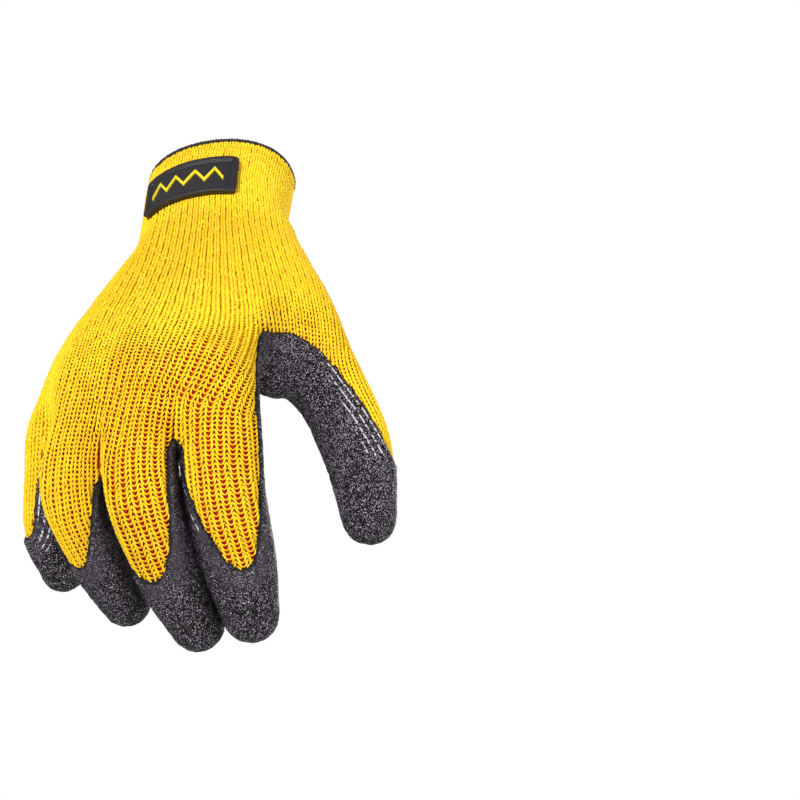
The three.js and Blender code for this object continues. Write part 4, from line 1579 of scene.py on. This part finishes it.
def stitch_piece(name, rows, material, settings):
    """The stitches given, as one piece."""
    shapes = [stitch_shape(k / (VARIANTS - 1)) for k in range(VARIANTS)]
    patterns = [pattern_object(f"{name}_shape_{k}", *shape) for k, shape in enumerate(shapes)]
    random = np.random.default_rng(settings.seed)
    count = len(rows["bare"])
    jitter = 1 + STRETCH["spread"] * random.standard_normal((count, 3))
    size = np.stack([rows["wide"] / KNIT["wale"], rows["high"] / KNIT["course"], np.ones(count)], 1)
    size = np.clip(size, STRETCH["least"], STRETCH["most"]) * jitter
    attributes = {
        "turn": euler_angles(rows["across"], rows["along"], rows["normal"]),
        "size": size,
        "variant": np.clip(np.round(rows["openness"] * (VARIANTS - 1)), 0, VARIANTS - 1).astype(int),
        "tint": np.clip(rows["tint"] + SHADE["spread"] * random.standard_normal(count), 0, 1),
        "openness": rows["openness"],
    }
    return repeated(name, rows["point"], attributes, patterns, material, settings.swell)


def rubber_piece(skin, settings):
    """The dipped rubber: a crinkled outer face, a plain inner one, and a rolled edge between."""
    points, quads, extras = divided(skin.points, skin.quads, {"bare": skin.bare})
    triangles = triangles_of(quads)
    points = skin.field.settle(points, 0.0, 2)
    teeth = sum(height * noise(points, size, seed) for size, height, seed in TEETH)
    coat = -extras["bare"] + teeth
    points, triangles, extras = cut_above(points, triangles, coat, {"coat": coat, "depth": -extras["bare"]})
    points, triangles, extras = largest_part(points, triangles, extras)
    normals = skin.field.normals(points)
    coat = extras["coat"]
    edge = smooth_step(0.0, WALLS["edge_roll"], coat)
    thickness = WALLS["rubber_edge"] + (WALLS["rubber"] - WALLS["rubber_edge"]) * edge
    # Ridges like short worms, and slow swells under them
    size, seed = WAVES["bends"]
    bend = np.stack([noise(points, size, seed + k) for k in range(3)], 1)
    ridges = 1 - 2 * np.abs(noise(points + CRINKLE["bend"] * bend, *WAVES["ridges"]))
    swells = noise(points, *WAVES["swells"])
    zone = shine_zone(points, normals) * (1 - smooth_step(*SHINE_LINES["ends"], coat))
    at_edge, in_shine = CRINKLE["at_edge"], CRINKLE["in_shine"]
    plain = (at_edge + (1 - at_edge) * edge) * (1 - (1 - in_shine) * zone)
    lines = np.cos(2 * math.pi * (extras["depth"] - SHINE_LINES["first"]) / SHINE_LINES["step"])
    crinkle = CRINKLE["ridges"] * ridges + CRINKLE["swells"] * swells
    raised = settings.crinkle_height * crinkle * plain + SHINE_LINES["height"] * zone * lines
    outer = points + normals * (thickness + raised)[:, None]
    # The smooth rubber's painted sheen: on the fingers, near the edge, in patches and where the camera faces
    # it
    fingers = skin.on_fingers(points, 3.0)
    patches = smooth_step(*SMOOTH_PAINTED_SHEEN["patchy"], noise(points, *WAVES["patches"]))
    patches = SMOOTH_PAINTED_SHEEN["least"] + (1 - SMOOTH_PAINTED_SHEEN["least"]) * patches
    facing = smooth_step(*SMOOTH_PAINTED_SHEEN["facing"], facing_camera(points, normals))
    values = {
        "depth": extras["depth"],
        "zone": zone * smooth_step(*SHINE_LINES["starts"], coat),
        # The ridges' share of the height that the rubber's painted shade and light follow
        "ridge": CRINKLE["shade"] * ridges * plain,
        "satin": fingers * facing * (1 - smooth_step(SMOOTH_PAINTED_SHEEN["full"], SMOOTH_PAINTED_SHEEN["gone"], coat)) * patches,
        # Painted shade in a dark line along the rubber's edge
        "rim": 1 - smooth_step(*PAINTED_RIM_SHADE, coat),
    }

    low_points, low_faces = skin.coarse()
    low_coat = -skin.near(skin.bare, low_points)
    low_points, low_faces, _ = cut_above(low_points, low_faces, low_coat, {})
    low_points, low_faces, _ = largest_part(low_points, low_faces, {})
    inner = skin.field.settle(low_points, WALLS["rubber_inside"], 2)
    both, faces = bridged((outer, triangles), (inner, low_faces[:, ::-1]))
    attributes = {name: np.concatenate([value, np.zeros(len(inner))]) for name, value in values.items()}
    return new_piece("rubber_dip", both, faces, attributes)


def shine_zone(points, normals):
    """Where the rubber lies thin over the ribs of the knit and gets painted highlights, on the side the
    camera sees, 0 to 1.
    """
    pixels, _ = seen(points)
    share = np.zeros(len(points))
    for x0, y0, x1, y1, reach in SHINE:
        along = np.array((x1 - x0, y1 - y0), float)
        t = np.clip(((pixels - (x0, y0)) @ along) / (along @ along), 0, 1)
        gap = np.linalg.norm(pixels - (x0, y0) - t[:, None] * along, axis=1)
        share = np.maximum(share, 1 - smooth_step(*SHINE_FADES, gap / reach))
    return share * (facing_camera(points, normals) > 0)


def cuff_section(row, turn, z):
    """Points on the cuff's squarish section at one of the hand's rows, in mm."""
    half = HAND["rows"][row][3:5]
    power = 2 / HAND["squareness"]
    c = np.sign(np.cos(turn)) * np.abs(np.cos(turn)) ** power
    s = np.sign(np.sin(turn)) * np.abs(np.sin(turn)) ** power
    return np.stack([half[0] * c, half[1] * s, z], 1)


def hem_ring(count):
    """Even points along the middle of the hem, with the outward, the forward and the upward directions."""
    turn = 2 * math.pi * np.arange(count) / count
    points = cuff_section(HEM["row"], turn, np.full(count, HEM["z"]))
    closed = np.concatenate([points, points[:1]])
    length = np.concatenate([[0], np.cumsum(np.linalg.norm(np.diff(closed, axis=0), axis=1))])
    even = length[-1] * np.arange(count) / count
    points = np.stack([np.interp(even, length, closed[:, k]) for k in range(3)], 1)
    forward = unit(np.roll(points, -1, axis=0) - np.roll(points, 1, axis=0))
    up = np.tile((0.0, 0.0, 1.0), (count, 1))
    outward = np.cross(forward, up)
    return points + outward * (WALLS["inside"] / 2), outward, forward, up


def tube(centres, sides_a, sides_b, radii, sides):
    """A closed ring of tube round centres, its section spanned by two directions."""
    turn = 2 * math.pi * np.arange(sides) / sides
    part_a = sides_a[:, None] * (radii[0] * np.cos(turn))[None, :, None]
    part_b = sides_b[:, None] * (radii[1] * np.sin(turn))[None, :, None]
    ring = centres[:, None] + part_a + part_b
    count = len(centres)
    i, k = np.meshgrid(np.arange(count), np.arange(sides), indexing="ij")
    here, there = i * sides, (i + 1) % count * sides
    beside = (k + 1) % sides
    corners = (here + k, here + beside, there + beside, there + k)
    return ring.reshape(-1, 3), np.stack([corner.ravel() for corner in corners], 1)


def hem_bead():
    """The overlocked edge's rolled bead of yarn."""
    centres, outward, _, up = hem_ring(HEM["bead_steps"])
    return new_piece("hem_bead", *tube(centres, up, outward, HEM["bead"], HEM["bead_sides"]))


def hem_loops(material):
    """A slanted loop of thread round the bead at each stitch."""
    centres, outward, forward, up = hem_ring(HEM["loops"])
    lean = math.radians(HEM["lean"])
    axis = forward * math.cos(lean) + up * math.sin(lean)
    top = np.cross(axis, outward)
    random = np.random.default_rng(HEM["seed"])
    steps = HEM["loop_steps"]
    turn = 2 * math.pi * np.arange(steps) / steps
    out = np.stack([np.cos(turn), np.sin(turn), 0 * turn], 1)
    flat = np.tile((0.0, 0.0, 1.0), (steps, 1))
    points, faces = tube(out * (*HEM["loop"], 1.0), out, flat, HEM["thread"], HEM["thread_sides"])
    pattern = pattern_object("hem_loop", points, [tuple(face) for face in faces])
    attributes = {
        "turn": euler_angles(outward, top, np.cross(outward, top)),
        "size": 1 + HEM["spread"] * random.standard_normal((len(centres), 3)),
        "variant": np.zeros(len(centres), int),
    }
    return repeated("hem_loops", centres, attributes, [pattern], material)


def on_patch(skin, u, v, h):
    """Points over the cuff at u across and v up the patch, h mm above its seat."""
    tilt = math.radians(PATCH["tilt"])
    along = u * math.cos(tilt) - v * math.sin(tilt)
    z = PATCH["z"] + u * math.sin(tilt) + v * math.cos(tilt)
    radius = np.mean(HAND["rows"][PATCH["row"]][3:5])
    points = cuff_section(PATCH["row"], math.radians(PATCH["angle"]) + along / radius, z)
    points = skin.field.settle(points, 0.0, 4)
    return points + skin.field.normals(points) * (PATCH["seat"] + h)[:, None]


def patch_outline(depth, turn):
    """The patch's rounded outline that far in from its edge, for turns round its middle."""
    width, height = PATCH["width"] / 2 - depth, PATCH["height"] / 2 - depth
    corner = max(PATCH["corner"] - depth, 0.0)
    c, s = np.cos(turn), np.sin(turn)
    reach = np.minimum(width / np.maximum(np.abs(c), 1e-6), height / np.maximum(np.abs(s), 1e-6))
    u, v = reach * c, reach * s
    # Corners pulled in to the rounding
    over_u, over_v = np.abs(u) - (width - corner), np.abs(v) - (height - corner)
    both = (over_u > 0) & (over_v > 0)
    scale = corner / np.maximum(np.hypot(over_u, over_v), 1e-6)
    u = np.where(both, np.sign(u) * (width - corner + over_u * scale), u)
    v = np.where(both, np.sign(v) * (height - corner + over_v * scale), v)
    return u, v


def patch_height(depth):
    """How high the patch is that far in from its outline: a rounded border, a groove and a flat field."""
    base, edge = PATCH["thickness"], PATCH["edge_round"]
    top = base + PATCH["border_relief"]
    if depth < edge:
        return top - edge + math.sqrt(edge**2 - (edge - depth) ** 2)
    if depth < PATCH["border"]:
        return top - PATCH["border_crown"] * (depth - PATCH["border_middle"]) ** 2
    fall = (depth - PATCH["border"]) / PATCH["groove"]
    dip = PATCH["groove_depth"] * math.exp(-3 * (fall - 1.3) ** 2)
    return base + (top - base) * max(0.0, 1 - fall) ** 2 - dip


def patch_piece(skin):
    """The moulded patch with its raised border."""
    sides, rings = PATCH["sides"], len(PATCH_DEPTHS)
    turn = 2 * math.pi * (np.arange(sides) + 0.5) / sides
    outlines = [patch_outline(depth, turn) for depth in PATCH_DEPTHS]
    heights = [patch_height(depth) for depth in PATCH_DEPTHS]
    # The outline once more at the underside, the rings, and a middle point on each side
    u, v = np.concatenate([outlines[0], *outlines, np.zeros((2, 2))], 1)
    h = np.concatenate([np.repeat([PATCH["sunk"], *heights], sides), [PATCH["thickness"], PATCH["sunk"]]])
    points = on_patch(skin, u, v, h)
    top, under = len(points) - 2, len(points) - 1
    last = rings * sides
    faces = []
    for k in range(sides):
        beside = (k + 1) % sides
        for a, b in ((ring * sides + k, ring * sides + beside) for ring in range(rings)):
            faces += [(a, b, b + sides), (a, b + sides, a + sides)]
        faces += [(last + k, last + beside, top), (beside, k, under)]
    return new_piece("moulded_patch", points, np.array(faces))


def zigzag_piece(skin):
    """A raised ribbon along a zigzag, with rounded shoulders."""
    leg = np.arange(ZIGZAG["turns"] * ZIGZAG["leg_steps"] + 1) / ZIGZAG["leg_steps"]
    middle_u = ZIGZAG["length"] * (leg / ZIGZAG["turns"] - 0.5)
    middle_v = ZIGZAG["rise"] * (0.5 - np.abs(leg % 2 - 1))
    half, relief, low = ZIGZAG["ribbon"] / 2, ZIGZAG["relief"], PATCH["thickness"] - ZIGZAG["sunk"]
    profile = [(-half, low), (-half, low + relief * 0.7), (-half + ZIGZAG["shoulder"], low + relief)]
    profile += [(-x, y) for x, y in reversed(profile)]
    sides, count = len(profile), len(leg)
    u = np.repeat(middle_u, sides)
    v = np.repeat(middle_v, sides) + np.tile([x for x, _ in profile], count)
    h = np.tile([y for _, y in profile], count)
    points = on_patch(skin, u, v, h)
    faces = []
    for i in range(count - 1):
        for k in range(sides):
            a, b = i * sides + k, i * sides + (k + 1) % sides
            faces += [(a, b + sides, b), (a, a + sides, b + sides)]
    last = (count - 1) * sides
    for k in range(1, sides - 1):
        faces += [(0, k, k + 1), (last, last + k + 1, last + k)]
    return new_piece("zigzag", points, np.array(faces), smooth=False)


def for_camera(tree, elsewhere, seen_value):
    """One value for the camera and another for the light on other things."""
    path = add_node(tree, "ShaderNodeLightPath").outputs["Is Camera Ray"]
    return remapped(tree, path, 0.0, 1.0, elsewhere, seen_value)


def build_floor():
    """A floor as pale as the backdrop from any side, though the world lights it less."""
    mesh = bpy.data.meshes.new("floor")
    reach = FLOOR["reach"]
    corners = ((-reach, -reach), (reach, -reach), (reach, reach), (-reach, reach))
    mesh.from_pydata([(x, y, FLOOR["z"]) for x, y in corners], [], [(0, 1, 2, 3)])
    material, tree, shader = new_material("Pale studio floor")
    feed(tree, shader, {
        "Base Color": ink("floor"),
        "Roughness": 0.9,
        "Emission Color": ink("floor"),
        "Emission Strength": for_camera(tree, 0.0, FLOOR["glow"]),
    })
    mesh.materials.append(material)
    floor = in_scene("floor", mesh)


def build_world(strength):
    """A backdrop that is white to the camera and lights the glove less, so that lamps model its form."""
    world = bpy.data.worlds.new("studio")
    world.use_nodes = True
    tree = world.node_tree
    background = tree.nodes["Background"]
    feed(tree, background, {"Color": (1.0, 1.0, 1.0, 1.0), "Strength": for_camera(tree, strength, 1.0)})
    return world


def build_stage(settings):
    """The floor, the world, the camera and its soft lamps."""
    scene = bpy.context.scene
    build_floor()
    scene.world = build_world(settings.world_light)
    scene.view_settings.view_transform = "Standard"

    place, right, up, back = camera_axes()
    data = bpy.data.cameras.new("camera")
    data.sensor_width = SENSOR
    data.lens = CAMERA["focal"] * SENSOR / CAMERA["picture"]
    data.clip_start = 0.01
    data.dof.use_dof = False
    turn = Matrix([Vector(right), Vector(up), Vector(back)]).transposed()
    scene.camera = in_scene("camera", data)
    scene.camera.matrix_world = Matrix.Translation(Vector(place * MM)) @ turn.to_4x4()

    for name, ((aside, above, near), width) in LAMPS.items():
        lamp = bpy.data.lights.new(name, "AREA")
        lamp.shape = "DISK"
        lamp.size = width
        lamp.energy = getattr(settings, f"{name}_light")
        holder = in_scene(name, lamp)
        spot = LIT + right * aside + up * above + back * near
        holder.location = spot
        holder.rotation_euler = Vector(LIT - spot).to_track_quat("-Z", "Y").to_euler()


def amount(name, description, default):
    """A setting that is a number from zero up."""
    return FloatProperty(name=name, description=description, default=default, min=0.0)


class KnitSettings(bpy.types.PropertyGroup):
    yarn_colour: StringProperty(
        name="Yarn colour", description="sRGB hex colour of the yarn", default=INK["yarn"]
    )
    swell: amount("Loop swell", "Size of each loop beside its cell", 1.0)
    seed: IntProperty(name="Seed", description="Seed of the loops' small differences", default=7)


class RubberSettings(bpy.types.PropertyGroup):
    crinkle_height: amount("Crinkle height", "Height of the crinkle's ridges in millimetres", 0.45)


class StageSettings(bpy.types.PropertyGroup):
    world_light: amount("World light", "Strength of the white world", 0.34)
    key_light: amount("Key light", "Power of the key lamp in watts", 14.5)
    side_light: amount("Side light", "Power of the side lamp in watts", 5.0)
    under_light: amount("Under light", "Power of the low lamp in watts", 4.5)
    palm_light: amount("Palm light", "Power of the lamp behind in watts", 9.0)


class GLOVE_OT_stage(bpy.types.Operator):
    """Make the floor, the lamps, the world and the camera"""

    bl_idname = "glove.stage"
    bl_label = "Make stage"

    def execute(self, context):
        build_stage(context.scene.glove_stage)
        return {"FINISHED"}


def stitch_rows(knit):
    """All stitches, with a darker row a little below the rim."""
    rows = knit.stitches()
    below = RIM - rows["point"][:, 2]
    pucker = np.exp(-(((below - PUCKER["below_rim"]) / PUCKER["reach"]) ** 2))
    wrist = smooth_step(*WRIST["starts"], below) * (1 - smooth_step(*WRIST["ends"], below))
    cuff = 1 - smooth_step(*CUFF["ends"], below)
    rows["tint"] = SHADE["all"] + SHADE["pucker"] * pucker + SHADE["wrist"] * wrist
    rows["tint"] = rows["tint"] + SHADE["open"] * rows["openness"]
    rows["wide"] = rows["wide"] * (1 - WRIST["narrower"] * wrist + CUFF["wider"] * cuff)
    # Yarn never lies quite evenly, and least so in closed knit
    random = np.random.default_rng(UNEVEN["seed"])
    loose = (UNEVEN["open"] + UNEVEN["closed"] * (1 - rows["openness"]))[:, None]
    for name, share in (("across", 1.0), ("along", 1.0), ("normal", 0.5)):
        rows["point"] = rows["point"] + rows[name] * loose * share * random.standard_normal(loose.shape)
    return rows


class GLOVE_OT_walls(bpy.types.Operator):
    """Make the liner's and the cuff's walls behind their loops"""

    bl_idname = "glove.walls"
    bl_label = "Make walls"

    def execute(self, context):
        skin, _ = skin_and_knit()
        material = ground_material(context.scene.glove_knit)
        finish_piece(wall_piece("hand_wall", skin, None, CUFF_END), ["knit_liner"], material)
        finish_piece(wall_piece("cuff_wall", skin, CUFF_END, RIM), ["rib_cuff"], material)
        return {"FINISHED"}


class GLOVE_OT_loops(bpy.types.Operator):
    """Make the knit's loops on the cuff, the hand and the digits"""

    bl_idname = "glove.loops"
    bl_label = "Make loops"

    def execute(self, context):
        skin, knit = skin_and_knit()
        settings = context.scene.glove_knit
        material = yarn_material(settings)
        rows = stitch_rows(knit)
        fingers = skin.on_fingers(rows["point"], 1.6)
        rows["tint"] = rows["tint"] + SHADE["fingers"] * fingers
        height = rows["point"][:, 2]
        on_cuff = height > CUFF_END
        on_finger = ~on_cuff & (fingers > 0.5)
        on_wrist = ~on_cuff & ~on_finger & (height > WRIST_END)
        on_hand = ~on_cuff & ~on_finger & ~on_wrist
        parts = (
            ("cuff_loops", on_cuff, "rib_cuff", "rib_yarn"),
            ("wrist_loops", on_wrist, "knit_liner", "knit_yarn"),
            ("hand_loops", on_hand, "knit_liner", "knit_yarn"),
            ("finger_loops", on_finger, "knit_liner", "knit_yarn"),
        )
        for name, keep, node, slot in parts:
            finish_piece(stitch_piece(name, picked(rows, keep), material, settings), [node])
        return {"FINISHED"}


class GLOVE_OT_rubber(bpy.types.Operator):
    """Make the dipped rubber"""

    bl_idname = "glove.rubber"
    bl_label = "Make rubber"

    def execute(self, context):
        skin, _ = skin_and_knit()
        piece = rubber_piece(skin, context.scene.glove_rubber)
        finish_piece(piece, ["rubber_coating"], rubber_material())
        return {"FINISHED"}


class GLOVE_OT_hem(bpy.types.Operator):
    """Make the cuff's overlocked hem"""

    bl_idname = "glove.hem"
    bl_label = "Make hem"

    def execute(self, context):
        look = {"roughness": 0.75, "grain_scale": 2500.0, "grain_depth": 0.0002}
        thread = plain_material("Twisted polyester overlock thread", "hem", **look)
        finish_piece(hem_bead(), ["cuff_hem"], thread)
        finish_piece(hem_loops(thread), ["cuff_hem"])
        return {"FINISHED"}


class GLOVE_OT_patch(bpy.types.Operator):
    """Make the moulded patch and its zigzag"""

    bl_idname = "glove.patch"
    bl_label = "Make patch"

    def execute(self, context):
        skin, _ = skin_and_knit()
        look = {"roughness": 0.5, "grain_scale": 1500.0, "grain_depth": 0.00008}
        dark = plain_material("Moulded soft PVC, dark", "patch", **look)
        bright = plain_material("Moulded soft PVC, yellow", "zigzag", **look)
        finish_piece(patch_piece(skin), ["wrist_patch"], dark)
        finish_piece(zigzag_piece(skin), ["patch_zigzag"], bright)
        return {"FINISHED"}


class GLOVE_PT_panel(bpy.types.Panel):
    """The glove's settings and steps"""

    bl_idname = "GLOVE_PT_panel"
    bl_label = "Knitted work glove"
    bl_space_type = "VIEW_3D"
    bl_region_type = "UI"
    bl_category = "Glove"

    def draw(self, context):
        layout = self.layout
        for group in SETTINGS:
            settings = getattr(context.scene, group)
            for name in settings.bl_rna.properties.keys():
                if name not in ("rna_type", "name"):
                    layout.prop(settings, name)
        for operator in STEPS:
            layout.operator(operator.bl_idname)


SETTINGS = {"glove_knit": KnitSettings, "glove_rubber": RubberSettings, "glove_stage": StageSettings}
STEPS = (GLOVE_OT_stage, GLOVE_OT_walls, GLOVE_OT_loops, GLOVE_OT_rubber, GLOVE_OT_hem, GLOVE_OT_patch)
CLASSES = (*SETTINGS.values(), *STEPS, GLOVE_PT_panel)


def register():
    """Adds the classes and the scene's settings."""
    for cls in CLASSES:
        bpy.utils.register_class(cls)
    for name, group in SETTINGS.items():
        setattr(bpy.types.Scene, name, PointerProperty(type=group))


def unregister():
    """Takes the settings and the classes away."""
    for name in SETTINGS:
        delattr(bpy.types.Scene, name)
    for cls in reversed(CLASSES):
        bpy.utils.unregister_class(cls)


def main():
    """Builds the whole scene."""
    register()
    bpy.ops.glove.stage()
    bpy.ops.glove.walls()
    bpy.ops.glove.rubber()
    bpy.ops.glove.loops()
    bpy.ops.glove.hem()
    bpy.ops.glove.patch()


if __name__ == "__main__":
    main()
